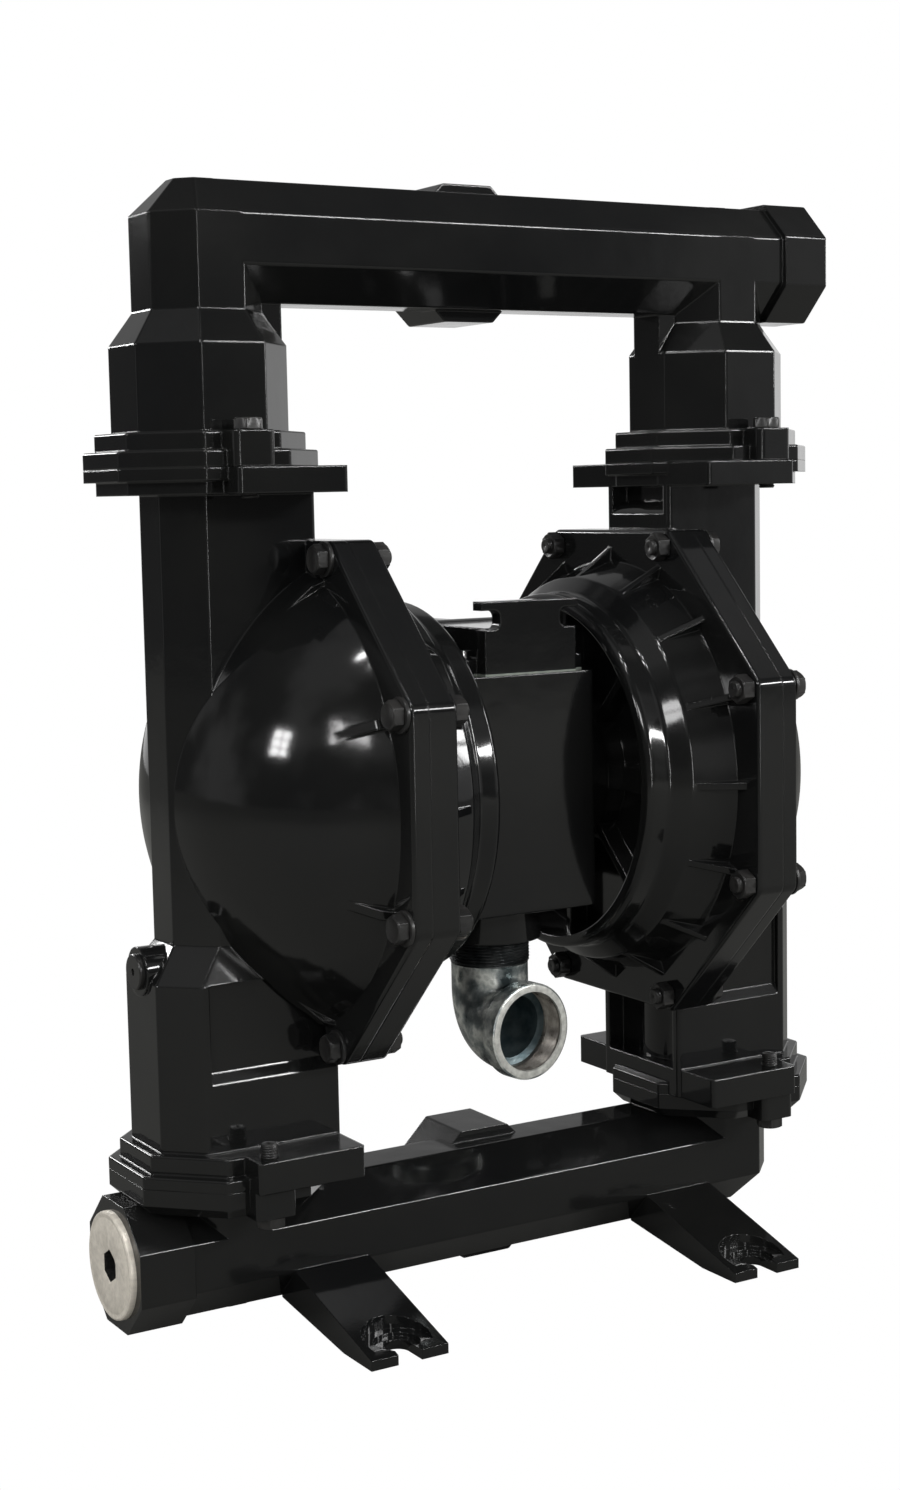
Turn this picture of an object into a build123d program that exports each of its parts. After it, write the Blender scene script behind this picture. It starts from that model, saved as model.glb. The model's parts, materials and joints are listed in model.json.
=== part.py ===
"""Air operated double diaphragm pump, cast metal, with 2 1/2 inch ports and a 2 inch exhaust.

Frame: +Z up, the pump shaft lies along X, the rear ports face +Y. The origin is on the
floor, under the middle of the pump. Millimetres throughout.
"""
from math import cos, sin, radians, sqrt, tan
import os

from build123d import *

os.makedirs("parts", exist_ok=True)

# ---- overall layout -------------------------------------------------------------------
COLUMN_X = 213.5           # distance of each liquid column from the middle
DIAPHRAGM_X = 143.2        # plane in which each diaphragm is clamped
INLET_Z = 52.7             # axis of the lower manifold's duct
LOWER_JOINT_RISE = 58.9    # from that axis to the lower manifold's joint
OCTAGON_FOOT_ROOM = 74.8   # from the lower joint to the octagonal flanges
OCTAGON_HEAD_ROOM = 49.7   # from the octagonal flanges to the upper joint
OUTLET_RISE = 150.7        # from the upper joint to the upper manifold's axis
OCTAGON_AF = 357.2         # across the flats of the clamped flanges
OCT = tan(radians(22.5))   # half a regular octagon's side over its apothem
CAST_R = 3.0               # rounding of the castings' long edges
PLATE_EDGE_R = 1.5         # rounding of the plates' rims
SINK = 2.0                 # how deep one cast feature is buried in the next

# ---- manifolds ------------------------------------------------------------------------
DUCT_AF = 81.0             # across the flats of the octagonal ducts and risers
DUCT_BORE_R = 31.0
PORT_AF = 89.0             # end bosses
PORT_START_X = 257.0
PORT_END_X = 297.0
REAR_PORT_AF = 97.0
REAR_PORT_START_Y = -2.0
REAR_PORT_END_Y = 50.0
PORT_TAP_R = 36.1          # minor radius of a 2 1/2 inch parallel pipe thread
PORT_TAP_DEPTH = 28.0
REAR_TAP_DEPTH = 16.0
FLANGE_AF = 147.0          # wide step of the bolted joint
FLANGE_STEP_AF = 132.0     # narrow step above it
FLANGE_WIDE_T = 11.5
FLANGE_NARROW_T = 12.2
EAR_HALF_X = 15.0          # bolt ear on the flange
EAR_END_Y = 85.0
EAR_CORNER_R = 5.0
JOINT_BOLT_Y = 74.0        # joint bolts, before and behind each column
CAGE_AF = 111.0            # ball cages above the upper joint
CAGE_H = 58.0
CAGE_SHOULDER_H = 22.0
CAGE_BORE_R = 47.0
CAGE_BORE_TOP_H = 78.0     # where the cage's bore starts to narrow, above the joint
CAGE_CONE_H = 18.0
CAGE_WEB_T = 32.0          # upright web from the cage to the duct, towards the middle
INLET_FLANGE_T = 19.0

# ---- feet -----------------------------------------------------------------------------
FOOT_X = 150.6
FOOT_W = 59.0
FOOT_TOE_Y = 149.0
FOOT_PAD_L = 39.0
FOOT_TOE_T = 7.0
FOOT_ROOT_H = 37.5         # height of the foot's ridge where it leaves the duct
SLOT_R = 9.0
SLOT_Y = 131.0
SPOT_R = 24.0
SPOT_STEP_R = 16.0
SPOT_Z = 9.0
SPOT_STEP_Z = 6.5

# ---- fluid caps -----------------------------------------------------------------------
FLUID_FLANGE_T = 13.3
AIR_FLANGE_T = 21.6
OCTAGON_CORNER_R = 9.0
DOME_BOLT_GAP = 18.0       # from the bolts' circle in to the dome's foot
DOME_DEPTH = 95.0
DOME_WALL = 9.0
CHAMBER_WALL = 14.0        # from the dome's foot in to the chamber
SEAT_BOLT_GAP = 16.8       # from the bolts' circle in to the diaphragm's seat
DIAPHRAGM_T = 5.0
COLUMN_INNER_X = 148.0     # face of the upper column towards the middle
COLUMN_OUTER_X = 253.0
COLUMN_HALF_Y = 40.0
COLUMN_CHAMFER = 23.5
CHEST_INNER_X = 145.5      # the wider lower column, which houses the inlet ball
CHEST_OUTER_X = 271.0
CHEST_HALF_Y = 49.2
CHEST_H = 136.4
CHEST_SHOULDER_H = 24.0
CHEST_BORE_R = 40.0
CHEST_BORE_H = 104.4
CHEST_TUBE_WALL = 18.0     # round wall of that bore, seen in the chest's hollow
PASSAGE_R = 32.5
PLATE_HALF_Y = 88.8        # square ears of the plates, on the side towards the middle
TOP_PLATE_T = 17.5
BOTTOM_PLATE_T = 21.4
PLATE_STEP_T = 8.6
PLATE_EAR_END_X = 228.0
POCKET_DEPTH = 14.0        # hollow in the column's inner face
POCKET_WALL = 7.0
POCKET_CURVE_R = 15.5
CHEST_PANEL_DEPTH = 4.0    # sunk panel in the front and back of the chest
CHEST_PANEL_RISE = 66.4
CHEST_PANEL_SLOPE = 10.0
CHEST_PANEL_MARGIN = 5.0
DOME_RIB_T = 7.0
DOME_RIB_L = 40.0          # from the dome's foot in to the rib's tip
DOME_RIB_DEPTH = 14.0
DOME_RIB_TOE_L = 12.0
DOME_RIB_FOOT_H = 9.0
DOME_RIB_FOOT_L = 4.0
DRAIN_RISE = 6.0           # of the drain boss over the chest's top
DRAIN_BOSS_R = 17.0
DRAIN_BOSS_X = 273.0
DRAIN_TAP_R = 8.3
DRAIN_TAP_DEPTH = 16.0

# ---- air caps -------------------------------------------------------------------------
RING_INNER_X = 60.0
RING_OUTER_X = 78.5
RING_STEP = 11.0           # from the drum's step in to the ring
RING_EDGE_R = 6.0
RING_WALL = 9.0
DRUM_STEP_X = 90.0
DRUM_TAPER = 11.0          # from the drum's foot in to its step
DRUM_BOLT_GAP = 25.0       # from the bolts' circle in to the drum's foot
FLOOR_X = 95.0             # the cap's floor, on the side towards the middle
FLOOR_T = 8.0
CHAMBER_TAPER = 36.0       # the air chamber widens by this much from its floor
CHAMBER_WAIST_X = 120.0
CHAMBER_WAIST_STEP = 8.0
HUB_R = 56.0
AIR_RIBS = 16
AIR_RIB_T = 5.0
AIR_RIB_TIP_X = 92.5
AIR_RIB_BOLT_GAP = 15.0    # from the bolts' circle in to each rib's end
FLOOR_RIBS = 8
FLOOR_RIB_T = 6.0
FLOOR_RIB_WIDE_T = 18.0    # the two level ribs
FLOOR_RIB_H = 15.0
SHAFT_HOLE_R = 17.0
BUSH_R = 21.0
BUSH_X = 72.0
BUSH_L = 24.0
SEAL_L = 5.0
AIR_WAY_R = 4.5            # drilling that feeds each air chamber
AIR_WAY_Y = 24.0
AIR_WAY_RISE = 40.0
HUB_SCREW_CIRCLE_R = 42.0
HUB_SCREW_R = 4.0
HUB_SCREW_HEAD_R = 6.5
HUB_SCREW_HEAD_T = 6.0
HUB_SCREW_SEAT = 7.0
HUB_SCREW_L = 55.0
SCREW_HOLE_GAP = 0.2
SCREW_HEAD_GAP = 0.5
SCREW_HOLE_SPARE = 1.0
SCREW_HEX_AF = 6.0
SCREW_HEX_DEPTH = 3.0

# ---- octagon bolts --------------------------------------------------------------------
OCT_BOLT_EDGE = 13.3       # from the octagon's corner in to the bolt
BOLT_R = 6.0
BOLT_HOLE_R = 6.6
BOLT_TAP_R = 6.05
HEX_AF = 18.0
HEAD_T = 8.0
NUT_T = 10.0
WASHER_R = 12.0
WASHER_T = 2.5
OCT_BOLT_TAIL = 3.0
JOINT_BOLT_TAIL = 9.0

# ---- valves ---------------------------------------------------------------------------
BALL_R = 32.0
BALL_LIFT = 14.0
SEAT_T = 12.0
SEAT_BORE_R = 25.0
SEAT_CONTACT_R = 27.0
SEAT_CONTACT_Z = 8.0
SEAT_FIT = 0.1
SEAT_SEAL_R = 37.5
SEAT_SEAL_W = 4.0
SEAT_SEAL_T = 3.0
BALL_SEAT_GAP = 0.25
GUIDE_T = 6.0
GUIDE_GAP = 2.0
STOP_R = 18.0
STOP_T = 9.0
STOP_GAP = 0.6

# ---- shaft and diaphragms -------------------------------------------------------------
STROKE = 28.0              # each way from the middle
SHAFT_R = 15.0
SHAFT_END_R = 10.0
SHAFT_END_L = 18.0
PLATE_FIT = 0.05
PLATE_CHAMBER_GAP = 16.0   # from the air chamber's floor in to the inner plate
INNER_PLATE_T = 8.0
INNER_PLATE_EDGE = 3.0
OUTER_PLATE_STEP = 4.0
OUTER_PLATE_T = 17.0
OUTER_PLATE_RIM_T = 6.0
OUTER_PLATE_HUB_R = 30.0
DIAPHRAGM_RIM_GAP = 0.2
CONVOLUTE_GAP = 2.0        # from the chamber's wall and from the inner plate
CONVOLUTE_DEPTH = 13.0

# ---- centre section -------------------------------------------------------------------
CENTRE_HALF_X = 55.0
CENTRE_HALF_Y = 77.0
CENTRE_DROP = 90.0         # of the centre body's underside below the shaft
CENTRE_EDGE_R = 6.0
SEAM_RISE = 82.5           # of the air valve's seat over the shaft
GASKET_T = 1.5
RUNNING_FIT = 0.05
PIN_R = 4.0
PIN_RISE = 38.0            # of the pilot pin over the shaft
PIN_HALF_L = 107.5
EXHAUST_CHAMBER_R = 24.0
EXHAUST_CHAMBER_H = 60.0
EXHAUST_WAY_Y = -42.0
EXHAUST_WAY_R = 9.0

# ---- air valve ------------------------------------------------------------------------
VALVE_FRONT_T = 11.0
VALVE_H = 50.7
VALVE_EDGE_R = 1.5
VALVE_RAIL_HALF_X = 40.4
VALVE_FRONT_HALF_X = 37.8
VALVE_RAIL_T = 6.3
VALVE_SLOT_H = 13.6
VALVE_SLOT_HALF_X = 25.0
VALVE_SLOT_R = 5.0
VALVE_BASE_HALF_X = 50.0
VALVE_BASE_T = 10.0
VALVE_BACK_Y = 62.0
VALVE_BLOCK_HALF_X = 30.0
VALVE_BLOCK_H = 31.5
VALVE_BARREL_R = 19.0
VALVE_BARREL_HALF_X = 50.0
SPOOL_R = 12.0
SPOOL_HALF_L = 39.0
SPOOL_TRAVEL = 8.0
SPOOL_LAND_L = 14.0
SPOOL_WAIST_R = 8.0
SPOOL_Y = 24.0
SPOOL_RISE = 14.5          # of the spool's axis over the valve's seat
VALVE_WAY_R = 5.0
VALVE_WAY_X = 22.0
END_CAP_R = 15.5
END_CAP_T = 5.0
AIR_INLET_R = 12.1         # minor radius of a 3/4 inch parallel pipe thread
AIR_INLET_DEPTH = 16.0
AIR_INLET_BOSS_R = 18.5
VALVE_SCREW_X = 42.0
VALVE_SCREW_Y = 53.0
VALVE_SCREW_L = 32.0

# ---- exhaust --------------------------------------------------------------------------
EXHAUST_BACK = 14.0        # how far the exhaust's axis lies before the shaft
EXHAUST_BOSS_R = 38.0
EXHAUST_BOSS_H = 26.0
ELBOW_THREAD_R = 29.6
ELBOW_GRIP = 16.0          # how far the elbow is screwed in
ELBOW_THREAD_L = 34.0
THREAD_RUNOUT = 1.0
ELBOW_FIT = 0.05
ELBOW_R = 28.3
ELBOW_BORE_R = 23.5
ELBOW_DROP = 90.0          # of the elbow's mouth below the centre body
ELBOW_BEND_R = 29.0
ELBOW_REACH = 47.0
ELBOW_SWELL_R = 32.5
ELBOW_SWELL_Y = 22.0
ELBOW_BEAD_R = 35.4
ELBOW_BEAD_L = 14.0
ELBOW_TAP_R = 28.4         # minor radius of a 2 inch parallel pipe thread
ELBOW_TAP_DEPTH = 20.0
ELBOW_TURN = 7.0           # degrees from straight forward

# ---- plugs ----------------------------------------------------------------------------
PLUG_HEAD_R = 37.5
PLUG_HEAD_T = 4.5
PLUG_SHANK_L = 22.0
PLUG_FIT = 0.1
PLUG_HEX_AF = 20.0
PLUG_HEX_DEPTH = 9.0
PLUG_RIM = 1.5
DRAIN_HEAD_R = 12.5
DRAIN_HEAD_T = 3.5
DRAIN_HOLE_R = 2.2

# ---- derived --------------------------------------------------------------------------
LOWER_JOINT_Z = INLET_Z + LOWER_JOINT_RISE
SHAFT_Z = LOWER_JOINT_Z + OCTAGON_FOOT_ROOM + OCTAGON_AF / 2
UPPER_JOINT_Z = SHAFT_Z + OCTAGON_AF / 2 + OCTAGON_HEAD_ROOM
OUTLET_Z = UPPER_JOINT_Z + OUTLET_RISE
CHEST_TOP_Z = LOWER_JOINT_Z + CHEST_H
CHEST_BORE_TOP_Z = LOWER_JOINT_Z + CHEST_BORE_H
CHEST_PANEL_Z = LOWER_JOINT_Z + CHEST_PANEL_RISE
DRAIN_Z = CHEST_TOP_Z + DRAIN_RISE
OCT_BOLT_R = OCTAGON_AF / 2 / cos(radians(22.5)) - OCT_BOLT_EDGE
DOME_BASE_R = OCT_BOLT_R - DOME_BOLT_GAP
DOME_RIB_TIP_R = DOME_BASE_R - DOME_RIB_L
CHAMBER_R = DOME_BASE_R - CHAMBER_WALL
CHAMBER_WAIST_R = CHAMBER_R - CHAMBER_WAIST_STEP
CHAMBER_FLOOR_R = CHAMBER_R - CHAMBER_TAPER
DIAPHRAGM_SEAT_R = OCT_BOLT_R - SEAT_BOLT_GAP
DIAPHRAGM_R = DIAPHRAGM_SEAT_R - DIAPHRAGM_RIM_GAP
DRUM_BASE_R = OCT_BOLT_R - DRUM_BOLT_GAP
DRUM_STEP_R = DRUM_BASE_R - DRUM_TAPER
RING_R = DRUM_STEP_R - RING_STEP
AIR_RIB_END_R = OCT_BOLT_R - AIR_RIB_BOLT_GAP
INNER_PLATE_R = CHAMBER_FLOOR_R - PLATE_CHAMBER_GAP
OUTER_PLATE_R = INNER_PLATE_R - OUTER_PLATE_STEP
CONVOLUTE_INNER_R = INNER_PLATE_R + CONVOLUTE_GAP
CONVOLUTE_OUTER_R = CHAMBER_R - CONVOLUTE_GAP
AIR_WAY_Z = SHAFT_Z + AIR_WAY_RISE
PIN_Z = SHAFT_Z + PIN_RISE
CENTRE_BOTTOM_Z = SHAFT_Z - CENTRE_DROP
SEAM_Z = SHAFT_Z + SEAM_RISE
VALVE_TOP_Z = SEAM_Z + VALVE_H
VALVE_BLOCK_TOP_Z = SEAM_Z + VALVE_BLOCK_H
SPOOL_Z = SEAM_Z + SPOOL_RISE
EXHAUST_CHAMBER_TOP_Z = CENTRE_BOTTOM_Z + EXHAUST_CHAMBER_H
EXHAUST_BOSS_BOTTOM_Z = CENTRE_BOTTOM_Z - EXHAUST_BOSS_H
ELBOW_THREAD_TOP_Z = EXHAUST_BOSS_BOTTOM_Z + ELBOW_GRIP
ELBOW_THREAD_BOTTOM_Z = ELBOW_THREAD_TOP_Z - ELBOW_THREAD_L
ELBOW_Z = CENTRE_BOTTOM_Z - ELBOW_DROP
FLUID_FLANGE_X = DIAPHRAGM_X + FLUID_FLANGE_T
AIR_FLANGE_X = DIAPHRAGM_X - AIR_FLANGE_T
DOME_R = (DOME_BASE_R ** 2 + DOME_DEPTH ** 2) / (2 * DOME_DEPTH)
DOME_CENTRE_X = FLUID_FLANGE_X + DOME_DEPTH - DOME_R
SEAT_R = CHEST_BORE_R - SEAT_FIT
BALL_RISE = SEAT_CONTACT_Z + sqrt(BALL_R ** 2 - SEAT_CONTACT_R ** 2) + BALL_SEAT_GAP
STOP_RISE = BALL_RISE + BALL_R + BALL_LIFT + STOP_GAP
INNER_PLATE_X = DIAPHRAGM_X - DIAPHRAGM_T / 2 - INNER_PLATE_T
OUTER_PLATE_X = DIAPHRAGM_X + DIAPHRAGM_T / 2
AIR_SIDE_X = FLOOR_X + FLOOR_T
EXHAUST_Y = -EXHAUST_BACK
SCREW_SEAT_X = AIR_SIDE_X - HUB_SCREW_SEAT
CENTRE_TOP_Z = SEAM_Z - GASKET_T
SHAFT_AXIS = Axis((0, 0, SHAFT_Z), (1, 0, 0))


def across_x(x, z=0.0, y=0.0):
    """Plane square to X: its own x runs along +Y and its own y along +Z."""
    return Plane(origin=(x, y, z), x_dir=(0, 1, 0), z_dir=(1, 0, 0))


def across_y(y, x=0.0, z=0.0):
    """Plane square to Y: its own x runs along +X, its own y along +Z, and it faces -Y."""
    return Plane(origin=(x, y, z), x_dir=(1, 0, 0), z_dir=(0, -1, 0))


def level(z, x=0.0, y=0.0):
    """Level plane at height z."""
    return Plane(origin=(x, y, z))


def through_shaft(angle):
    """Plane that holds the shaft's axis: x runs along the shaft and y outward at an angle."""
    return Plane(
        origin=(0, 0, SHAFT_Z),
        x_dir=(1, 0, 0),
        z_dir=(0, -sin(radians(angle)), cos(radians(angle))),
    )


def octagon(across_flats):
    """Regular octagon with its flats square to the axes."""
    RegularPolygon(across_flats / 2, 8, major_radius=False, rotation=22.5)


def rounded_octagon(across_flats, corner_r=CAST_R):
    """Regular octagon with rounded corners."""
    octagon(across_flats)
    fillet(vertices(), corner_r)


def prism(plane, across_flats, length, corner_r=CAST_R, rim_r=0.0):
    """Octagonal prism that starts on a plane, with the rim of its far end eased."""
    with BuildSketch(plane) as section:
        rounded_octagon(across_flats, corner_r)
    body = extrude(section.sketch, amount=length, mode=Mode.PRIVATE)
    if rim_r:
        along = Axis(plane.origin, plane.z_dir)
        body = body.fillet(rim_r, body.faces().sort_by(along)[-1].edges())
    add(body)


def bore(plane, radius, length, mode=Mode.SUBTRACT):
    """Round bar or hole that starts on a plane."""
    with BuildSketch(plane) as section:
        Circle(radius)
    extrude(section.sketch, amount=length, mode=mode)


def slab(plane, points, amount, both=False, mode=Mode.ADD):
    """Flat plate with a straight-sided outline."""
    with BuildSketch(plane) as section:
        with BuildLine():
            Polyline(*points, close=True)
        make_face()
    extrude(section.sketch, amount=amount, both=both, mode=mode)


def turned_about_x(points, side=1, mode=Mode.ADD):
    """Body turned about the pump's shaft axis, from (x, radius) points."""
    with BuildSketch(across_y(0, 0, SHAFT_Z)) as section:
        with BuildLine():
            Polyline(*[(side * x, r) for x, r in points], close=True)
        make_face()
    revolve(section.sketch, axis=SHAFT_AXIS, mode=mode)


def save(part, name):
    """Label one finished piece and write it."""
    part.label = name
    export_step(part, f"parts/{name}.step")


# ---- upper manifold -------------------------------------------------------------------
def ball_guides(x, joint_z, bore_r):
    """Four upright guides in a ball's cage, with a stop at the top of its lift."""
    stop_z = joint_z + STOP_RISE
    foot_z = joint_z + SEAT_T + GUIDE_GAP
    guide_r = BALL_R + GUIDE_GAP
    wall_r = bore_r + GUIDE_GAP
    for angle in (45, 135, 225, 315):
        along = (cos(radians(angle)), sin(radians(angle)), 0)
        across = (sin(radians(angle)), -cos(radians(angle)), 0)
        plane = Plane(origin=(x, 0, 0), x_dir=along, z_dir=across)
        outline = [
            (guide_r, foot_z),
            (wall_r, foot_z),
            (wall_r, stop_z + STOP_T),
            (STOP_R, stop_z + STOP_T),
            (STOP_R, stop_z),
            (guide_r, stop_z),
        ]
        slab(plane, outline, GUIDE_T / 2, both=True)


def flange_ears(x, z, thickness):
    """Two rounded bolt ears, before and behind a column."""
    with BuildSketch(level(z, x)) as section:
        RectangleRounded(2 * EAR_HALF_X, 2 * EAR_END_Y, EAR_CORNER_R)
    extrude(section.sketch, amount=thickness)


def joint_bolt_holes(x, z, thickness, radius):
    """Holes for the two bolts of one manifold joint."""
    with BuildSketch(level(z, x)) as section:
        with Locations((0, JOINT_BOLT_Y), (0, -JOINT_BOLT_Y)):
            Circle(radius)
    extrude(section.sketch, amount=thickness, mode=Mode.SUBTRACT)


UPPER_FLANGE_T = FLANGE_WIDE_T + FLANGE_NARROW_T
CAGE_TOP_Z = UPPER_JOINT_Z + UPPER_FLANGE_T + CAGE_H
SHOULDER_TOP_Z = CAGE_TOP_Z + CAGE_SHOULDER_H
CAGE_TAPER = (CAGE_AF - DUCT_AF) / 2 / CAGE_SHOULDER_H

with BuildPart() as outlet_manifold:
    prism(across_x(-COLUMN_X, OUTLET_Z), DUCT_AF, COLUMN_X + PORT_END_X - SINK)
    prism(across_x(PORT_START_X, OUTLET_Z), PORT_AF, PORT_END_X - PORT_START_X, rim_r=PLATE_EDGE_R)
    prism(across_y(REAR_PORT_END_Y, 0, OUTLET_Z), REAR_PORT_AF, REAR_PORT_END_Y - REAR_PORT_START_Y)
    for column in (-COLUMN_X, COLUMN_X):
        prism(level(SHOULDER_TOP_Z, column), DUCT_AF, OUTLET_Z + DUCT_AF / 2 * OCT - SHOULDER_TOP_Z)
        with BuildSketch(level(OUTLET_Z + DUCT_AF / 2 * OCT, column)):
            rounded_octagon(DUCT_AF)
        with BuildSketch(level(OUTLET_Z + DUCT_AF / 2, column)):
            rounded_octagon(DUCT_AF * OCT)
        loft(ruled=True)
        with BuildSketch(level(CAGE_TOP_Z, column)):
            rounded_octagon(CAGE_AF)
        with BuildSketch(level(SHOULDER_TOP_Z, column)):
            rounded_octagon(DUCT_AF)
        loft(ruled=True)
        prism(level(UPPER_JOINT_Z, column), CAGE_AF, CAGE_TOP_Z - UPPER_JOINT_Z)
        inner_x = column * (1 - CAGE_AF / 2 / COLUMN_X)
        web = [
            (inner_x, CAGE_TOP_Z - SINK),
            (column, CAGE_TOP_Z - SINK),
            (column, OUTLET_Z),
            (inner_x, OUTLET_Z),
        ]
        slab(across_y(0), web, CAGE_WEB_T / 2, both=True)
        prism(level(UPPER_JOINT_Z, column), FLANGE_AF, FLANGE_WIDE_T, rim_r=PLATE_EDGE_R)
        prism(level(UPPER_JOINT_Z, column), FLANGE_STEP_AF, UPPER_FLANGE_T, rim_r=PLATE_EDGE_R)
        flange_ears(column, UPPER_JOINT_Z, UPPER_FLANGE_T)
    # liquid passages
    bore(across_x(-COLUMN_X, OUTLET_Z), DUCT_BORE_R, COLUMN_X + PORT_END_X)
    bore(across_x(PORT_END_X - PORT_TAP_DEPTH, OUTLET_Z), PORT_TAP_R, PORT_TAP_DEPTH)
    bore(across_y(REAR_PORT_END_Y, 0, OUTLET_Z), DUCT_BORE_R, REAR_PORT_END_Y)
    bore(across_y(REAR_PORT_END_Y, 0, OUTLET_Z), PORT_TAP_R, REAR_TAP_DEPTH)
    for column in (-COLUMN_X, COLUMN_X):
        bore(level(UPPER_JOINT_Z, column), CHEST_BORE_R, SEAT_T)
        bore(level(UPPER_JOINT_Z + SEAT_T, column), CAGE_BORE_R, CAGE_BORE_TOP_H - SEAT_T)
        with BuildSketch(level(UPPER_JOINT_Z + CAGE_BORE_TOP_H, column)):
            Circle(CAGE_BORE_R)
        with BuildSketch(level(UPPER_JOINT_Z + CAGE_BORE_TOP_H + CAGE_CONE_H, column)):
            Circle(DUCT_BORE_R)
        loft(ruled=True, mode=Mode.SUBTRACT)
        bore(level(UPPER_JOINT_Z + CAGE_BORE_TOP_H, column), DUCT_BORE_R,
             OUTLET_Z - UPPER_JOINT_Z - CAGE_BORE_TOP_H)
        joint_bolt_holes(column, UPPER_JOINT_Z, UPPER_FLANGE_T, BOLT_HOLE_R)
        ball_guides(column, UPPER_JOINT_Z, CAGE_BORE_R)
save(outlet_manifold.part, "outlet_manifold")


# ---- lower manifold with its feet -----------------------------------------------------
def foot(x, front):
    """Wedge foot from the duct to the floor, with a stepped spot face and an open slot."""
    toe = FOOT_TOE_Y
    duct_front = DUCT_AF / 2
    duct_bottom = INLET_Z - DUCT_AF / 2
    outline = [
        (duct_front * OCT, duct_bottom),
        (toe - FOOT_PAD_L, 0),
        (toe, 0),
        (toe, FOOT_TOE_T),
        (duct_front, FOOT_ROOT_H),
        (duct_front * OCT, FOOT_ROOT_H),
    ]
    with BuildSketch(across_x(x - FOOT_W / 2)) as section:
        with BuildLine():
            Polyline(*[(front * y, z) for y, z in outline], close=True)
        make_face()
    wedge = extrude(section.sketch, amount=FOOT_W, mode=Mode.PRIVATE)
    slope = wedge.faces().filter_by(Axis.X, reverse=True).sort_by(Axis.Z)[-2]
    wedge = wedge.fillet(CAST_R, slope.edges().filter_by(Axis.X, reverse=True))
    add(wedge)
    spot = level(SPOT_Z, x, front * SLOT_Y)
    bore(spot, SPOT_R, FOOT_ROOT_H)
    bore(level(SPOT_STEP_Z, x, front * SLOT_Y), SPOT_STEP_R, FOOT_ROOT_H)
    bore(level(0, x, front * SLOT_Y), SLOT_R, FOOT_ROOT_H)
    with BuildSketch(level(0, x, front * (SLOT_Y + toe) / 2)) as section:
        Rectangle(2 * SLOT_R, toe - SLOT_Y)
    extrude(section.sketch, amount=FOOT_ROOT_H, mode=Mode.SUBTRACT)


INLET_FLANGE_Z = LOWER_JOINT_Z - INLET_FLANGE_T

with BuildPart() as inlet_manifold:
    prism(across_x(-PORT_END_X + SINK, INLET_Z), DUCT_AF, COLUMN_X + PORT_END_X - SINK)
    prism(across_x(-PORT_END_X, INLET_Z), PORT_AF, PORT_END_X - PORT_START_X)
    prism(across_y(REAR_PORT_END_Y, 0, INLET_Z), REAR_PORT_AF, REAR_PORT_END_Y - REAR_PORT_START_Y)
    for column in (-COLUMN_X, COLUMN_X):
        lowest = INLET_Z - DUCT_AF / 2
        bend_z = INLET_Z - DUCT_AF / 2 * OCT
        prism(level(bend_z, column), DUCT_AF, LOWER_JOINT_Z - bend_z)
        with BuildSketch(level(lowest, column)):
            rounded_octagon(DUCT_AF * OCT)
        with BuildSketch(level(bend_z, column)):
            rounded_octagon(DUCT_AF)
        loft(ruled=True)
        with BuildSketch(level(INLET_FLANGE_Z, column)):
            rounded_octagon(FLANGE_STEP_AF)
        with BuildSketch(level(LOWER_JOINT_Z - FLANGE_WIDE_T, column)):
            rounded_octagon(FLANGE_AF)
        loft(ruled=True)
        prism(level(LOWER_JOINT_Z - FLANGE_WIDE_T, column), FLANGE_AF, FLANGE_WIDE_T)
        flange_ears(column, INLET_FLANGE_Z, INLET_FLANGE_T)
    for foot_x in (-FOOT_X, FOOT_X):
        foot(foot_x, -1)
        foot(foot_x, 1)
    # liquid passages
    bore(across_x(-PORT_END_X, INLET_Z), DUCT_BORE_R, COLUMN_X + PORT_END_X)
    bore(across_x(-PORT_END_X, INLET_Z), PORT_TAP_R, PORT_TAP_DEPTH)
    bore(across_y(REAR_PORT_END_Y, 0, INLET_Z), DUCT_BORE_R, REAR_PORT_END_Y)
    bore(across_y(REAR_PORT_END_Y, 0, INLET_Z), PORT_TAP_R, REAR_TAP_DEPTH)
    for column in (-COLUMN_X, COLUMN_X):
        bore(level(INLET_Z, column), DUCT_BORE_R, LOWER_JOINT_Z - INLET_Z)
        joint_bolt_holes(column, INLET_FLANGE_Z, INLET_FLANGE_T, BOLT_HOLE_R)
save(inlet_manifold.part, "inlet_manifold")


# ---- fluid caps -----------------------------------------------------------------------
def bolt_circle_holes(x, length):
    """Eight clearance holes at the octagon's corners."""
    with BuildSketch(across_x(x, SHAFT_Z)) as section:
        with PolarLocations(OCT_BOLT_R, 8, start_angle=22.5):
            Circle(BOLT_HOLE_R)
    extrude(section.sketch, amount=length, mode=Mode.SUBTRACT)


def column_outline(inner, outer, half_y, chamfer_leg):
    """Section of a column: square towards the middle, chamfered on the outside."""
    with BuildLine() as outline:
        Polyline(
            (inner, -half_y),
            (outer - chamfer_leg, -half_y),
            (outer, -half_y + chamfer_leg),
            (outer, half_y - chamfer_leg),
            (outer - chamfer_leg, half_y),
            (inner, half_y),
            close=True,
        )
    make_face(outline.line)
    fillet(vertices(), CAST_R)


def plate_ears(z, thickness):
    """Square-cornered part of a plate, on the side towards the middle."""
    half = (PLATE_EAR_END_X - COLUMN_INNER_X) / 2
    with BuildSketch(level(z, COLUMN_INNER_X + half)) as section:
        RectangleRounded(2 * half, 2 * PLATE_HALF_Y, CAST_R)
    extrude(section.sketch, amount=thickness)


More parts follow.
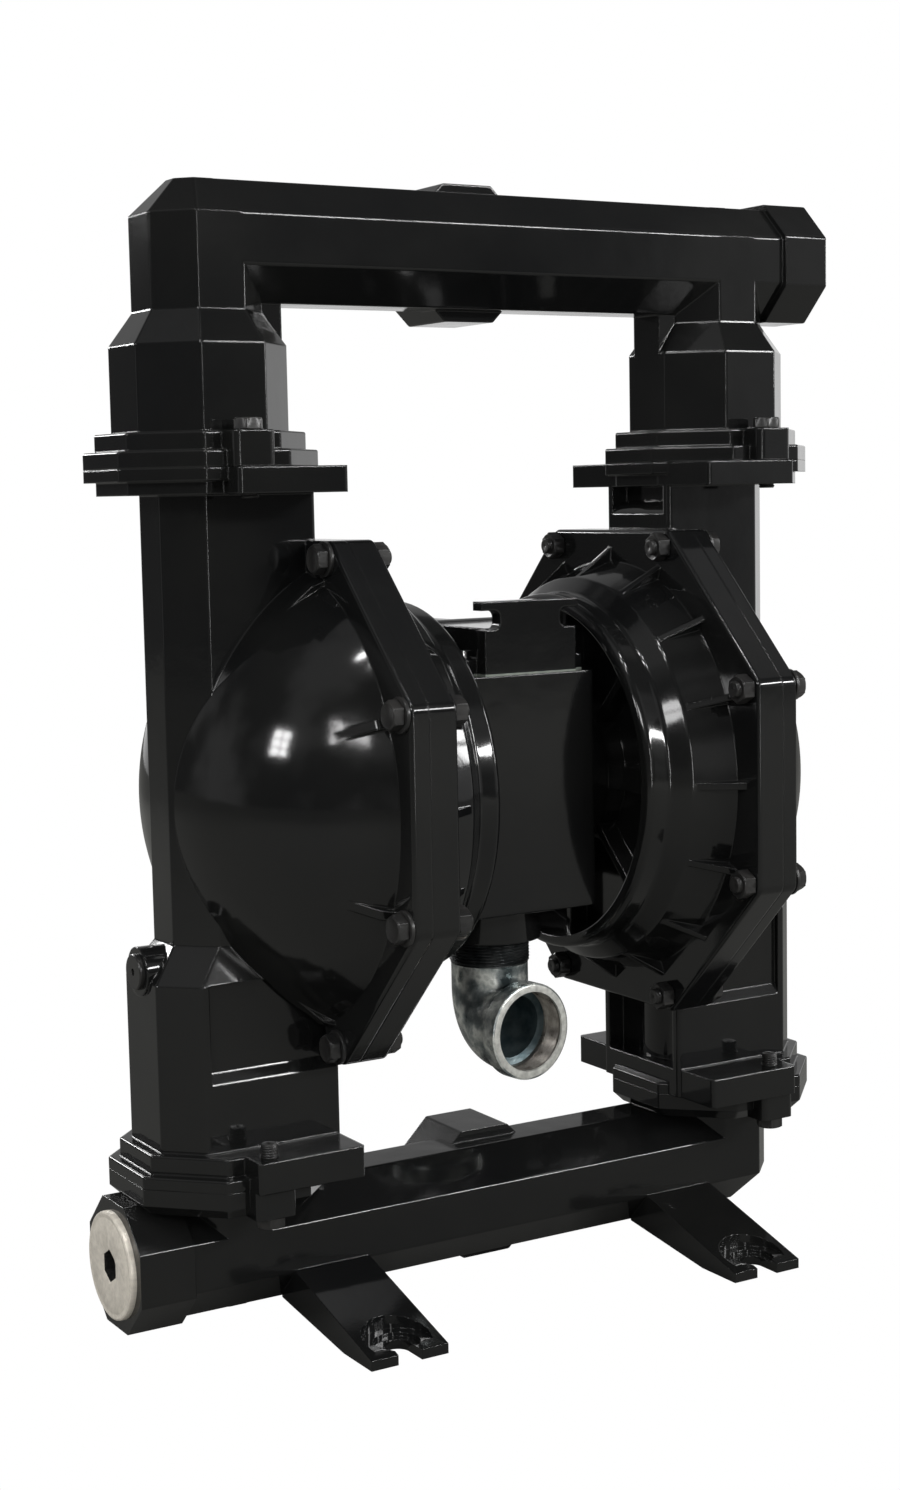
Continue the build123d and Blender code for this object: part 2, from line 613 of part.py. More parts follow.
def dome_rib(angle):
    """Tapered rib from a bolt's corner up onto the dome."""
    plane = through_shaft(angle)
    tip_x = DOME_CENTRE_X + sqrt(DOME_R ** 2 - DOME_RIB_TIP_R ** 2)
    low_r = DOME_RIB_TIP_R - DOME_RIB_DEPTH
    outline = [
        (FLUID_FLANGE_X - SINK, low_r),
        (tip_x - DOME_RIB_TOE_L, low_r),
        (tip_x - SINK, DOME_RIB_TIP_R),
        (FLUID_FLANGE_X + DOME_RIB_FOOT_H, DOME_BASE_R),
        (FLUID_FLANGE_X, DOME_BASE_R + DOME_RIB_FOOT_L),
        (FLUID_FLANGE_X - SINK, DOME_BASE_R + DOME_RIB_FOOT_L),
    ]
    slab(plane, outline, DOME_RIB_T / 2, both=True)


with BuildPart() as right_fluid_cap:
    prism(across_x(DIAPHRAGM_X, SHAFT_Z), OCTAGON_AF, FLUID_FLANGE_T, OCTAGON_CORNER_R, CAST_R)
    # dome
    with BuildSketch(across_y(0, 0, SHAFT_Z)):
        with BuildLine():
            rim = (FLUID_FLANGE_X, DOME_BASE_R)
            mid_r = DOME_BASE_R / 2
            mid = (DOME_CENTRE_X + sqrt(DOME_R ** 2 - mid_r ** 2), mid_r)
            tip = (FLUID_FLANGE_X + DOME_DEPTH, 0)
            ThreePointArc(rim, mid, tip)
            Polyline(tip, (DIAPHRAGM_X, 0), (DIAPHRAGM_X, DOME_BASE_R), rim)
        make_face()
    revolve(axis=SHAFT_AXIS)
    for n in range(8):
        dome_rib(22.5 + 45 * n)
    # column with its chest and plates
    with BuildSketch(level(CHEST_TOP_Z + CHEST_SHOULDER_H)):
        column_outline(COLUMN_INNER_X, COLUMN_OUTER_X, COLUMN_HALF_Y, COLUMN_CHAMFER)
    extrude(amount=UPPER_JOINT_Z - CHEST_TOP_Z - CHEST_SHOULDER_H)
    with BuildSketch(level(CHEST_TOP_Z)):
        column_outline(CHEST_INNER_X, CHEST_OUTER_X, CHEST_HALF_Y, COLUMN_CHAMFER)
    with BuildSketch(level(CHEST_TOP_Z + CHEST_SHOULDER_H)):
        column_outline(COLUMN_INNER_X, COLUMN_OUTER_X, COLUMN_HALF_Y, COLUMN_CHAMFER)
    loft(ruled=True)
    with BuildSketch(level(LOWER_JOINT_Z)):
        column_outline(CHEST_INNER_X, CHEST_OUTER_X, CHEST_HALF_Y, COLUMN_CHAMFER)
    extrude(amount=CHEST_TOP_Z - LOWER_JOINT_Z)
    prism(level(UPPER_JOINT_Z - PLATE_STEP_T, COLUMN_X), FLANGE_AF, PLATE_STEP_T)
    prism(level(UPPER_JOINT_Z - TOP_PLATE_T, COLUMN_X), FLANGE_STEP_AF, TOP_PLATE_T)
    plate_ears(UPPER_JOINT_Z - TOP_PLATE_T, TOP_PLATE_T)
    prism(level(LOWER_JOINT_Z, COLUMN_X), FLANGE_AF, PLATE_STEP_T, rim_r=PLATE_EDGE_R)
    prism(level(LOWER_JOINT_Z, COLUMN_X), FLANGE_STEP_AF, BOTTOM_PLATE_T, rim_r=PLATE_EDGE_R)
    plate_ears(LOWER_JOINT_Z, BOTTOM_PLATE_T)
    bore(across_x(COLUMN_X, DRAIN_Z), DRAIN_BOSS_R, DRAIN_BOSS_X - COLUMN_X, mode=Mode.ADD)
    # diaphragm seat and liquid chamber
    bore(across_x(DIAPHRAGM_X, SHAFT_Z), DIAPHRAGM_SEAT_R, DIAPHRAGM_T / 2)
    with BuildSketch(across_y(0, 0, SHAFT_Z)):
        with BuildLine():
            inner_r = DOME_R - DOME_WALL
            throat_x = DOME_CENTRE_X + sqrt(inner_r ** 2 - CHAMBER_R ** 2)
            mid_r = CHAMBER_R / 2
            mid = (DOME_CENTRE_X + sqrt(inner_r ** 2 - mid_r ** 2), mid_r)
            tip = (DOME_CENTRE_X + inner_r, 0)
            ThreePointArc((throat_x, CHAMBER_R), mid, tip)
            Polyline(tip, (DIAPHRAGM_X, 0), (DIAPHRAGM_X, CHAMBER_R), (throat_x, CHAMBER_R))
        make_face()
    revolve(axis=SHAFT_AXIS, mode=Mode.SUBTRACT)
    # passages: inlet ball's bore, and the way up and down from the chamber
    bore(level(LOWER_JOINT_Z, COLUMN_X), CHEST_BORE_R, CHEST_BORE_TOP_Z - LOWER_JOINT_Z)
    bore(level(CHEST_BORE_TOP_Z, COLUMN_X), PASSAGE_R, SHAFT_Z - CHEST_BORE_TOP_Z)
    bore(level(SHAFT_Z, COLUMN_X), PASSAGE_R, UPPER_JOINT_Z - SHAFT_Z)
    ball_guides(COLUMN_X, LOWER_JOINT_Z, CHEST_BORE_R)
    # hollow in the upper column's inner face, between its two side walls
    pocket_half_y = COLUMN_HALF_Y - POCKET_WALL
    pocket_top = UPPER_JOINT_Z - TOP_PLATE_T
    pocket_bottom = SHAFT_Z + OCTAGON_AF / 2
    with BuildSketch(across_y(0)):
        with BuildLine():
            Polyline(
                (COLUMN_INNER_X - 1, pocket_bottom + POCKET_WALL),
                (COLUMN_INNER_X - 1, pocket_top),
                (COLUMN_INNER_X + POCKET_DEPTH, pocket_top),
                (COLUMN_INNER_X + POCKET_DEPTH, pocket_bottom + POCKET_WALL + POCKET_DEPTH),
            )
            RadiusArc(
                (COLUMN_INNER_X + POCKET_DEPTH, pocket_bottom + POCKET_WALL + POCKET_DEPTH),
                (COLUMN_INNER_X - 1, pocket_bottom + POCKET_WALL),
                -POCKET_CURVE_R,
            )
        make_face()
    extrude(amount=pocket_half_y, both=True, mode=Mode.SUBTRACT)
    # hollow in the chest's inner face, with the round wall of the ball's bore inside it
    chest_floor = LOWER_JOINT_Z + BOTTOM_PLATE_T
    chest_ceiling = SHAFT_Z - OCTAGON_AF / 2
    with BuildSketch(level(chest_floor, CHEST_INNER_X)):
        Rectangle(2 * POCKET_DEPTH, 2 * (CHEST_HALF_Y - POCKET_WALL))
        with Locations((COLUMN_X - CHEST_INNER_X, 0)):
            Circle(CHEST_BORE_R + CHEST_TUBE_WALL, mode=Mode.SUBTRACT)
    extrude(amount=chest_ceiling - chest_floor, mode=Mode.SUBTRACT)
    # sunk panels in the chest's front and back
    for front in (-1, 1):
        face_y = front * CHEST_HALF_Y
        floor_y = front * (CHEST_HALF_Y - CHEST_PANEL_DEPTH)
        panel = [
            (face_y + front, CHEST_PANEL_Z),
            (floor_y, CHEST_PANEL_Z + CHEST_PANEL_SLOPE),
            (floor_y, CHEST_TOP_Z),
            (face_y + front, CHEST_TOP_Z),
        ]
        panel_start = CHEST_INNER_X
        panel_end = CHEST_OUTER_X - COLUMN_CHAMFER - CHEST_PANEL_MARGIN
        slab(across_x(panel_start), panel, panel_end - panel_start, mode=Mode.SUBTRACT)
    # holes
    bolt_circle_holes(DIAPHRAGM_X, FLUID_FLANGE_T + 1)
    joint_bolt_holes(COLUMN_X, UPPER_JOINT_Z - TOP_PLATE_T, TOP_PLATE_T, BOLT_TAP_R)
    joint_bolt_holes(COLUMN_X, LOWER_JOINT_Z, BOTTOM_PLATE_T, BOLT_TAP_R)
    bore(across_x(DRAIN_BOSS_X - DRAIN_TAP_DEPTH, DRAIN_Z), DRAIN_TAP_R, DRAIN_TAP_DEPTH)
save(right_fluid_cap.part, "right_fluid_cap")

with BuildPart() as left_fluid_cap:
    mirror(right_fluid_cap.part, about=Plane.YZ)
save(left_fluid_cap.part, "left_fluid_cap")


# ---- air caps -------------------------------------------------------------------------
def air_cap_rib(angle):
    """Tapered rib from the drum to the octagonal flange."""
    step_slope = (DRUM_BASE_R - DRUM_STEP_R) / (AIR_FLANGE_X - DRUM_STEP_X)
    outline = [
        (DRUM_STEP_X, DRUM_STEP_R - RING_EDGE_R),
        (AIR_RIB_TIP_X, DRUM_STEP_R + step_slope * (AIR_RIB_TIP_X - DRUM_STEP_X)),
        (AIR_FLANGE_X, AIR_RIB_END_R),
        (AIR_FLANGE_X + SINK, AIR_RIB_END_R),
        (AIR_FLANGE_X + SINK, DRUM_BASE_R - RING_EDGE_R),
    ]
    slab(through_shaft(angle), outline, AIR_RIB_T / 2, both=True)


def floor_rib(angle, thickness):
    """Radial rib on the floor, from the hub to the ring."""
    outline = [
        (FLOOR_X - FLOOR_RIB_H, HUB_R - SINK),
        (FLOOR_X - FLOOR_RIB_H, RING_R - RING_WALL + SINK),
        (FLOOR_X + SINK, RING_R - RING_WALL + SINK),
        (FLOOR_X + SINK, HUB_R - SINK),
    ]
    slab(through_shaft(angle), outline, thickness / 2, both=True)


def hub_screw_spots():
    """Where the four hub screws stand about the shaft."""
    return PolarLocations(HUB_SCREW_CIRCLE_R, 4, start_angle=45)


with BuildPart() as right_air_cap:
    facing = Plane(origin=(DIAPHRAGM_X, 0, SHAFT_Z), x_dir=(0, 1, 0), z_dir=(-1, 0, 0))
    prism(facing, OCTAGON_AF, AIR_FLANGE_T, OCTAGON_CORNER_R, CAST_R)
    with BuildSketch(across_y(0, 0, SHAFT_Z)):
        with BuildLine():
            Polyline(
                (RING_INNER_X, 0),
                (RING_INNER_X, RING_R),
                (RING_OUTER_X, RING_R),
                (DRUM_STEP_X, DRUM_STEP_R),
                (AIR_FLANGE_X, DRUM_BASE_R),
                (AIR_FLANGE_X + SINK, DRUM_BASE_R),
                (AIR_FLANGE_X + SINK, 0),
                close=True,
            )
        make_face()
        fillet(vertices().filter_by_position(Axis.Y, RING_R - 1, DRUM_STEP_R + 1), RING_EDGE_R)
    revolve(axis=SHAFT_AXIS)
    turned_about_x([
        (RING_INNER_X, 0),
        (RING_INNER_X, RING_R - RING_WALL),
        (FLOOR_X, RING_R - RING_WALL),
        (FLOOR_X, 0),
    ], mode=Mode.SUBTRACT)
    turned_about_x([
        (AIR_SIDE_X, 0),
        (AIR_SIDE_X, CHAMBER_FLOOR_R),
        (CHAMBER_WAIST_X, CHAMBER_WAIST_R),
        (DIAPHRAGM_X - DIAPHRAGM_T / 2, CHAMBER_R),
        (DIAPHRAGM_X - DIAPHRAGM_T / 2, DIAPHRAGM_SEAT_R),
        (DIAPHRAGM_X, DIAPHRAGM_SEAT_R),
        (DIAPHRAGM_X, 0),
    ], mode=Mode.SUBTRACT)
    bore(across_x(CENTRE_HALF_X, SHAFT_Z), HUB_R, AIR_SIDE_X - CENTRE_HALF_X, mode=Mode.ADD)
    for n in range(AIR_RIBS):
        air_cap_rib(360 / AIR_RIBS * n)
    for n in range(FLOOR_RIBS):
        floor_rib(360 / FLOOR_RIBS * n, FLOOR_RIB_T)
    for angle in (0, 180):
        floor_rib(angle, FLOOR_RIB_WIDE_T)
    # shaft hole with the bush and the seal, pilot pin, air way, screws
    bore(across_x(CENTRE_HALF_X, SHAFT_Z), SHAFT_HOLE_R, AIR_SIDE_X - CENTRE_HALF_X)
    bore(across_x(BUSH_X, SHAFT_Z), BUSH_R, AIR_SIDE_X - BUSH_X)
    bore(across_x(CENTRE_HALF_X, PIN_Z), PIN_R + RUNNING_FIT, AIR_SIDE_X - CENTRE_HALF_X)
    bore(across_x(CENTRE_HALF_X, AIR_WAY_Z, AIR_WAY_Y), AIR_WAY_R, AIR_SIDE_X - CENTRE_HALF_X)
    with BuildSketch(across_x(CENTRE_HALF_X, SHAFT_Z)):
        with hub_screw_spots():
            Circle(HUB_SCREW_R + SCREW_HOLE_GAP)
    extrude(amount=AIR_SIDE_X - CENTRE_HALF_X, mode=Mode.SUBTRACT)
    with BuildSketch(across_x(SCREW_SEAT_X, SHAFT_Z)):
        with hub_screw_spots():
            Circle(HUB_SCREW_HEAD_R + SCREW_HEAD_GAP)
    extrude(amount=HUB_SCREW_SEAT, mode=Mode.SUBTRACT)
    bolt_circle_holes(AIR_FLANGE_X, AIR_FLANGE_T)
save(right_air_cap.part, "right_air_cap")

with BuildPart() as left_air_cap:
    mirror(right_air_cap.part, about=Plane.YZ)
save(left_air_cap.part, "left_air_cap")


# ---- centre body ----------------------------------------------------------------------
with BuildPart() as centre_body:
    with BuildSketch(level(CENTRE_BOTTOM_Z)):
        RectangleRounded(2 * CENTRE_HALF_X, 2 * CENTRE_HALF_Y, CENTRE_EDGE_R)
    extrude(amount=CENTRE_TOP_Z - CENTRE_BOTTOM_Z)
    fillet(faces().sort_by(Axis.Z)[0].edges(), CAST_R)
    bore(level(EXHAUST_BOSS_BOTTOM_Z, 0, EXHAUST_Y), EXHAUST_BOSS_R,
         CENTRE_BOTTOM_Z - EXHAUST_BOSS_BOTTOM_Z, mode=Mode.ADD)
    bore(level(EXHAUST_BOSS_BOTTOM_Z, 0, EXHAUST_Y), ELBOW_THREAD_R + ELBOW_FIT,
         ELBOW_THREAD_TOP_Z - EXHAUST_BOSS_BOTTOM_Z + THREAD_RUNOUT)
    bore(level(EXHAUST_BOSS_BOTTOM_Z, 0, EXHAUST_Y), EXHAUST_CHAMBER_R,
         EXHAUST_CHAMBER_TOP_Z - EXHAUST_BOSS_BOTTOM_Z)
    bore(level(EXHAUST_CHAMBER_TOP_Z - EXHAUST_WAY_R, 0, EXHAUST_WAY_Y), EXHAUST_WAY_R,
         CENTRE_TOP_Z - EXHAUST_CHAMBER_TOP_Z + EXHAUST_WAY_R)
    bore(across_x(-CENTRE_HALF_X, SHAFT_Z), SHAFT_HOLE_R, 2 * CENTRE_HALF_X)
    bore(across_x(-CENTRE_HALF_X, PIN_Z), PIN_R + RUNNING_FIT, 2 * CENTRE_HALF_X)
    for side in (-1, 1):
        bore(level(AIR_WAY_Z, side * VALVE_WAY_X, SPOOL_Y), VALVE_WAY_R, CENTRE_TOP_Z - AIR_WAY_Z)
        with BuildSketch(across_x(side * VALVE_WAY_X, AIR_WAY_Z, AIR_WAY_Y)):
            Circle(AIR_WAY_R)
        extrude(amount=side * (CENTRE_HALF_X - VALVE_WAY_X), mode=Mode.SUBTRACT)
        with BuildSketch(across_x(side * CENTRE_HALF_X, SHAFT_Z)):
            with hub_screw_spots():
                Circle(HUB_SCREW_R + RUNNING_FIT)
        depth = HUB_SCREW_L - SCREW_SEAT_X + CENTRE_HALF_X + SCREW_HOLE_SPARE
        extrude(amount=-side * depth, mode=Mode.SUBTRACT)
    with BuildSketch(level(CENTRE_TOP_Z)):
        with GridLocations(2 * VALVE_SCREW_X, 2 * VALVE_SCREW_Y, 2, 2):
            Circle(HUB_SCREW_R + RUNNING_FIT)
    extrude(amount=-VALVE_SCREW_L, mode=Mode.SUBTRACT)
save(centre_body.part, "centre_body")


# ---- air valve ------------------------------------------------------------------------
def valve_base_holes(radius):
    """Holes of the gasket and of the valve's base: four screws and three air ways."""
    with GridLocations(2 * VALVE_SCREW_X, 2 * VALVE_SCREW_Y, 2, 2):
        Circle(radius, mode=Mode.SUBTRACT)
    with Locations((VALVE_WAY_X, SPOOL_Y), (-VALVE_WAY_X, SPOOL_Y)):
        Circle(VALVE_WAY_R, mode=Mode.SUBTRACT)
    with Locations((0, EXHAUST_WAY_Y)):
        Circle(EXHAUST_WAY_R, mode=Mode.SUBTRACT)


def arch(radius, leg):
    """Half-round arch about the plane's origin, on two straight legs."""
    with BuildLine() as outline:
        Polyline((-radius, 0), (-radius, -leg), (radius, -leg), (radius, 0))
        CenterArc((0, 0), radius, 0, 180)
    make_face(outline.line)


VALVE_FRONT_BACK_Y = VALVE_FRONT_T - CENTRE_HALF_Y
VALVE_BASE_MID_Y = (VALVE_BACK_Y + VALVE_FRONT_BACK_Y) / 2
VALVE_BASE_L = VALVE_BACK_Y - VALVE_FRONT_BACK_Y

with BuildPart() as valve_gasket:
    with BuildSketch(level(CENTRE_TOP_Z)):
        with Locations((0, (VALVE_BACK_Y - CENTRE_HALF_Y) / 2)):
            Rectangle(2 * VALVE_FRONT_HALF_X, VALVE_BACK_Y + CENTRE_HALF_Y)
        with Locations((0, VALVE_BASE_MID_Y)):
            Rectangle(2 * VALVE_BASE_HALF_X, VALVE_BASE_L)
        valve_base_holes(HUB_SCREW_R + SCREW_HOLE_GAP)
    extrude(amount=GASKET_T)
save(valve_gasket.part, "valve_gasket")

with BuildPart() as air_valve_body:
    with BuildSketch(level(SEAM_Z)):
        with Locations((0, VALVE_BASE_MID_Y)):
            Rectangle(2 * VALVE_BASE_HALF_X, VALVE_BASE_L)
    extrude(amount=VALVE_BASE_T)
    with BuildSketch(level(SEAM_Z, 0, (VALVE_FRONT_BACK_Y + SPOOL_Y) / 2)):
        Rectangle(2 * VALVE_BLOCK_HALF_X, SPOOL_Y - VALVE_FRONT_BACK_Y)
    extrude(amount=VALVE_BLOCK_TOP_Z - SEAM_Z)
    with BuildSketch(across_x(-VALVE_BARREL_HALF_X, SPOOL_Z, SPOOL_Y)):
        arch(VALVE_BARREL_R, SPOOL_Z - SEAM_Z)
    extrude(amount=2 * VALVE_BARREL_HALF_X)
    with BuildSketch(across_y(VALVE_BACK_Y, 0, SPOOL_Z)):
        arch(AIR_INLET_BOSS_R, SPOOL_Z - SEAM_Z)
    extrude(amount=VALVE_BACK_Y - SPOOL_Y)
    # front of the casting: a plate with a rail on top and an open slot at each side
    with BuildSketch(across_y(-CENTRE_HALF_Y)):
        with BuildLine():
            rail_z = VALVE_TOP_Z - VALVE_RAIL_T
            Polyline(
                (-VALVE_FRONT_HALF_X, SEAM_Z),
                (VALVE_FRONT_HALF_X, SEAM_Z),
                (VALVE_FRONT_HALF_X, rail_z),
                (VALVE_RAIL_HALF_X, rail_z),
                (VALVE_RAIL_HALF_X, VALVE_TOP_Z),
                (-VALVE_RAIL_HALF_X, VALVE_TOP_Z),
                (-VALVE_RAIL_HALF_X, rail_z),
                (-VALVE_FRONT_HALF_X, rail_z),
                close=True,
            )
        make_face()
        slot_mid_z = rail_z - VALVE_SLOT_H / 2
        slot_l = 2 * (VALVE_RAIL_HALF_X - VALVE_SLOT_HALF_X)
        with Locations((-VALVE_RAIL_HALF_X, slot_mid_z), (VALVE_RAIL_HALF_X, slot_mid_z)):
            RectangleRounded(slot_l, VALVE_SLOT_H, VALVE_SLOT_R, mode=Mode.SUBTRACT)
    extrude(amount=-VALVE_FRONT_T)
    # spool's bore, air ways and air inlet
    bore(across_x(-VALVE_BARREL_HALF_X, SPOOL_Z, SPOOL_Y), SPOOL_R + RUNNING_FIT,
         2 * VALVE_BARREL_HALF_X)
    for side in (-1, 1):
        bore(level(SEAM_Z, side * VALVE_WAY_X, SPOOL_Y), VALVE_WAY_R, SPOOL_Z - SEAM_Z)
    bore(level(SEAM_Z, 0, EXHAUST_WAY_Y), EXHAUST_WAY_R, VALVE_BASE_T + EXHAUST_WAY_R)
    bore(across_y(SPOOL_Y, 0, SEAM_Z + VALVE_BASE_T + EXHAUST_WAY_R - VALVE_WAY_R), VALVE_WAY_R,
         SPOOL_Y - EXHAUST_WAY_Y)
    bore(across_y(VALVE_BACK_Y, 0, SPOOL_Z), VALVE_WAY_R, VALVE_BACK_Y - SPOOL_Y)
    bore(across_y(VALVE_BACK_Y, 0, SPOOL_Z), AIR_INLET_R, AIR_INLET_DEPTH)
    with BuildSketch(level(SEAM_Z)):
        with GridLocations(2 * VALVE_SCREW_X, 2 * VALVE_SCREW_Y, 2, 2):
            Circle(HUB_SCREW_R + SCREW_HOLE_GAP)
    extrude(amount=VALVE_BASE_T, mode=Mode.SUBTRACT)
save(air_valve_body.part, "air_valve_body")

with BuildPart() as valve_spool:
    mid_land = SPOOL_LAND_L / 2
    end_land = SPOOL_HALF_L - SPOOL_LAND_L
    bore(across_x(-SPOOL_HALF_L, SPOOL_Z, SPOOL_Y), SPOOL_WAIST_R, 2 * SPOOL_HALF_L, mode=Mode.ADD)
    for start in (-SPOOL_HALF_L, -mid_land, end_land):
        bore(across_x(start, SPOOL_Z, SPOOL_Y), SPOOL_R, SPOOL_LAND_L, mode=Mode.ADD)
save(valve_spool.part, "valve_spool")

for side, label in ((-1, "left"), (1, "right")):
    with BuildPart() as valve_end_cap:
        with BuildSketch(across_x(side * VALVE_BARREL_HALF_X, SPOOL_Z, SPOOL_Y)):
            Circle(END_CAP_R)
        extrude(amount=side * END_CAP_T)
        with BuildSketch(across_x(side * (VALVE_BARREL_HALF_X + END_CAP_T), SPOOL_Z, SPOOL_Y)):
            RegularPolygon(SCREW_HEX_AF, 6, major_radius=False)
        extrude(amount=-side * SCREW_HEX_DEPTH, mode=Mode.SUBTRACT)
    save(valve_end_cap.part, f"{label}_valve_end_cap")


def socket_screw(plane, length):
    """Socket-head screw: its head stands on the plane and its shank runs the other way."""
    with BuildSketch(plane) as head:
        Circle(HUB_SCREW_HEAD_R)
    extrude(head.sketch, amount=HUB_SCREW_HEAD_T)
    with BuildSketch(plane.offset(HUB_SCREW_HEAD_T)) as socket:
        RegularPolygon(SCREW_HEX_AF / 2, 6, major_radius=False)
    extrude(socket.sketch, amount=-SCREW_HEX_DEPTH, mode=Mode.SUBTRACT)
    with BuildSketch(plane) as shank:
        Circle(HUB_SCREW_R)
    extrude(shank.sketch, amount=-length)


with BuildPart() as valve_screws:
    for x in (-VALVE_SCREW_X, VALVE_SCREW_X):
        for y in (-VALVE_SCREW_Y, VALVE_SCREW_Y):
            socket_screw(level(SEAM_Z + VALVE_BASE_T, x, y), VALVE_SCREW_L)
save(valve_screws.part, "valve_screws")

for side, label in ((-1, "left"), (1, "right")):
    with BuildPart() as hub_screws:
        for n in range(4):
            turn = radians(45 + 90 * n)
            y = HUB_SCREW_CIRCLE_R * cos(turn)
            z = SHAFT_Z + HUB_SCREW_CIRCLE_R * sin(turn)
            plane = Plane(origin=(side * SCREW_SEAT_X, y, z), x_dir=(0, 1, 0), z_dir=(side, 0, 0))
            socket_screw(plane, HUB_SCREW_L)
    save(hub_screws.part, f"{label}_hub_screws")


# ---- shaft assembly -------------------------------------------------------------------
with BuildPart() as main_shaft:
    end_x = INNER_PLATE_X + SHAFT_END_L
    turned_about_x([
        (-end_x, 0),
        (-end_x, SHAFT_END_R),
        (-INNER_PLATE_X, SHAFT_END_R),
        (-INNER_PLATE_X, SHAFT_R),
        (INNER_PLATE_X, SHAFT_R),
        (INNER_PLATE_X, SHAFT_END_R),
        (end_x, SHAFT_END_R),
        (end_x, 0),
    ])
save(main_shaft.part, "main_shaft")

with BuildPart() as pilot_pin:
    bore(across_x(-PIN_HALF_L, PIN_Z), PIN_R, 2 * PIN_HALF_L, mode=Mode.ADD)
save(pilot_pin.part, "pilot_pin")

for side, label in ((-1, "left"), (1, "right")):
    with BuildPart() as shaft_bush:
        turned_about_x([
            (BUSH_X, SHAFT_R + RUNNING_FIT),
            (BUSH_X, BUSH_R),
            (BUSH_X + BUSH_L, BUSH_R),
            (BUSH_X + BUSH_L, SHAFT_R + RUNNING_FIT),
        ], side)
    save(shaft_bush.part, f"{label}_shaft_bush")

    with BuildPart() as shaft_seal:
        seal_x = BUSH_X + BUSH_L
        turned_about_x([
            (seal_x, SHAFT_R + RUNNING_FIT),
            (seal_x, BUSH_R),
            (seal_x + SEAL_L, BUSH_R),
            (seal_x + SEAL_L, SHAFT_R + RUNNING_FIT),
        ], side)
    save(shaft_seal.part, f"{label}_shaft_seal")

    with BuildPart() as inner_plate:
        turned_about_x([
            (INNER_PLATE_X, SHAFT_END_R + PLATE_FIT),
            (INNER_PLATE_X, INNER_PLATE_R - INNER_PLATE_EDGE),
            (INNER_PLATE_X + INNER_PLATE_EDGE, INNER_PLATE_R),
            (INNER_PLATE_X + INNER_PLATE_T, INNER_PLATE_R),
            (INNER_PLATE_X + INNER_PLATE_T, SHAFT_END_R + PLATE_FIT),
        ], side)
    save(inner_plate.part, f"{label}_inner_plate")

    with BuildPart() as outer_plate:
        bore_end_x = INNER_PLATE_X + SHAFT_END_L + PLATE_FIT
        turned_about_x([
            (OUTER_PLATE_X, SHAFT_END_R + PLATE_FIT),
            (OUTER_PLATE_X, OUTER_PLATE_R),
            (OUTER_PLATE_X + OUTER_PLATE_RIM_T, OUTER_PLATE_R),
            (OUTER_PLATE_X + OUTER_PLATE_T, OUTER_PLATE_HUB_R),
            (OUTER_PLATE_X + OUTER_PLATE_T, 0),
            (bore_end_x, 0),
            (bore_end_x, SHAFT_END_R + PLATE_FIT),
        ], side)
    save(outer_plate.part, f"{label}_outer_plate")

    with BuildPart() as diaphragm:
        low = DIAPHRAGM_X - DIAPHRAGM_T / 2
        high = DIAPHRAGM_X + DIAPHRAGM_T / 2
        mid_r = (CONVOLUTE_INNER_R + CONVOLUTE_OUTER_R) / 2
        with BuildSketch(across_y(0, 0, SHAFT_Z)):
            with BuildLine():
                Polyline(
                    (side * high, CONVOLUTE_INNER_R),
                    (side * high, SHAFT_END_R + PLATE_FIT),
                    (side * low, SHAFT_END_R + PLATE_FIT),
                    (side * low, CONVOLUTE_INNER_R + DIAPHRAGM_T / 2),
                )
                ThreePointArc(
                    (side * low, CONVOLUTE_INNER_R + DIAPHRAGM_T / 2),
                    (side * (low + CONVOLUTE_DEPTH), mid_r),
                    (side * low, CONVOLUTE_OUTER_R - DIAPHRAGM_T / 2),
                )
                Polyline(
                    (side * low, CONVOLUTE_OUTER_R - DIAPHRAGM_T / 2),
                    (side * low, DIAPHRAGM_R),
                    (side * high, DIAPHRAGM_R),
                    (side * high, CONVOLUTE_OUTER_R),
                )
                ThreePointArc(
                    (side * high, CONVOLUTE_OUTER_R),
                    (side * (high + CONVOLUTE_DEPTH), mid_r),
                    (side * high, CONVOLUTE_INNER_R),
                )
            make_face()
        revolve(axis=SHAFT_AXIS)
    save(diaphragm.part, f"{label}_diaphragm")


# ---- balls and seats ------------------------------------------------------------------
def seat_outline():
    """Half section of a valve seat: x is the radius and y the height above the joint."""
    slope = SEAT_CONTACT_R / sqrt(BALL_R ** 2 - SEAT_CONTACT_R ** 2)
    return [
        (SEAT_BORE_R, 0),
        (SEAT_SEAL_R - SEAT_SEAL_W, 0),
        (SEAT_SEAL_R - SEAT_SEAL_W, SEAT_SEAL_T),
        (SEAT_SEAL_R, SEAT_SEAL_T),
        (SEAT_SEAL_R, 0),
        (SEAT_R, 0),
        (SEAT_R, SEAT_T),
        (SEAT_CONTACT_R + (SEAT_T - SEAT_CONTACT_Z) / slope, SEAT_T),
        (SEAT_BORE_R, SEAT_CONTACT_Z - (SEAT_CONTACT_R - SEAT_BORE_R) * slope),
    ]


with BuildPart() as seat_seals:
    for x in (-COLUMN_X, COLUMN_X):
        for z in (LOWER_JOINT_Z, UPPER_JOINT_Z):
            with BuildSketch(level(z, x)):
                Circle(SEAT_SEAL_R - RUNNING_FIT)
                Circle(SEAT_SEAL_R - SEAT_SEAL_W + RUNNING_FIT, mode=Mode.SUBTRACT)
            extrude(amount=SEAT_SEAL_T - RUNNING_FIT)
save(seat_seals.part, "seat_seals")

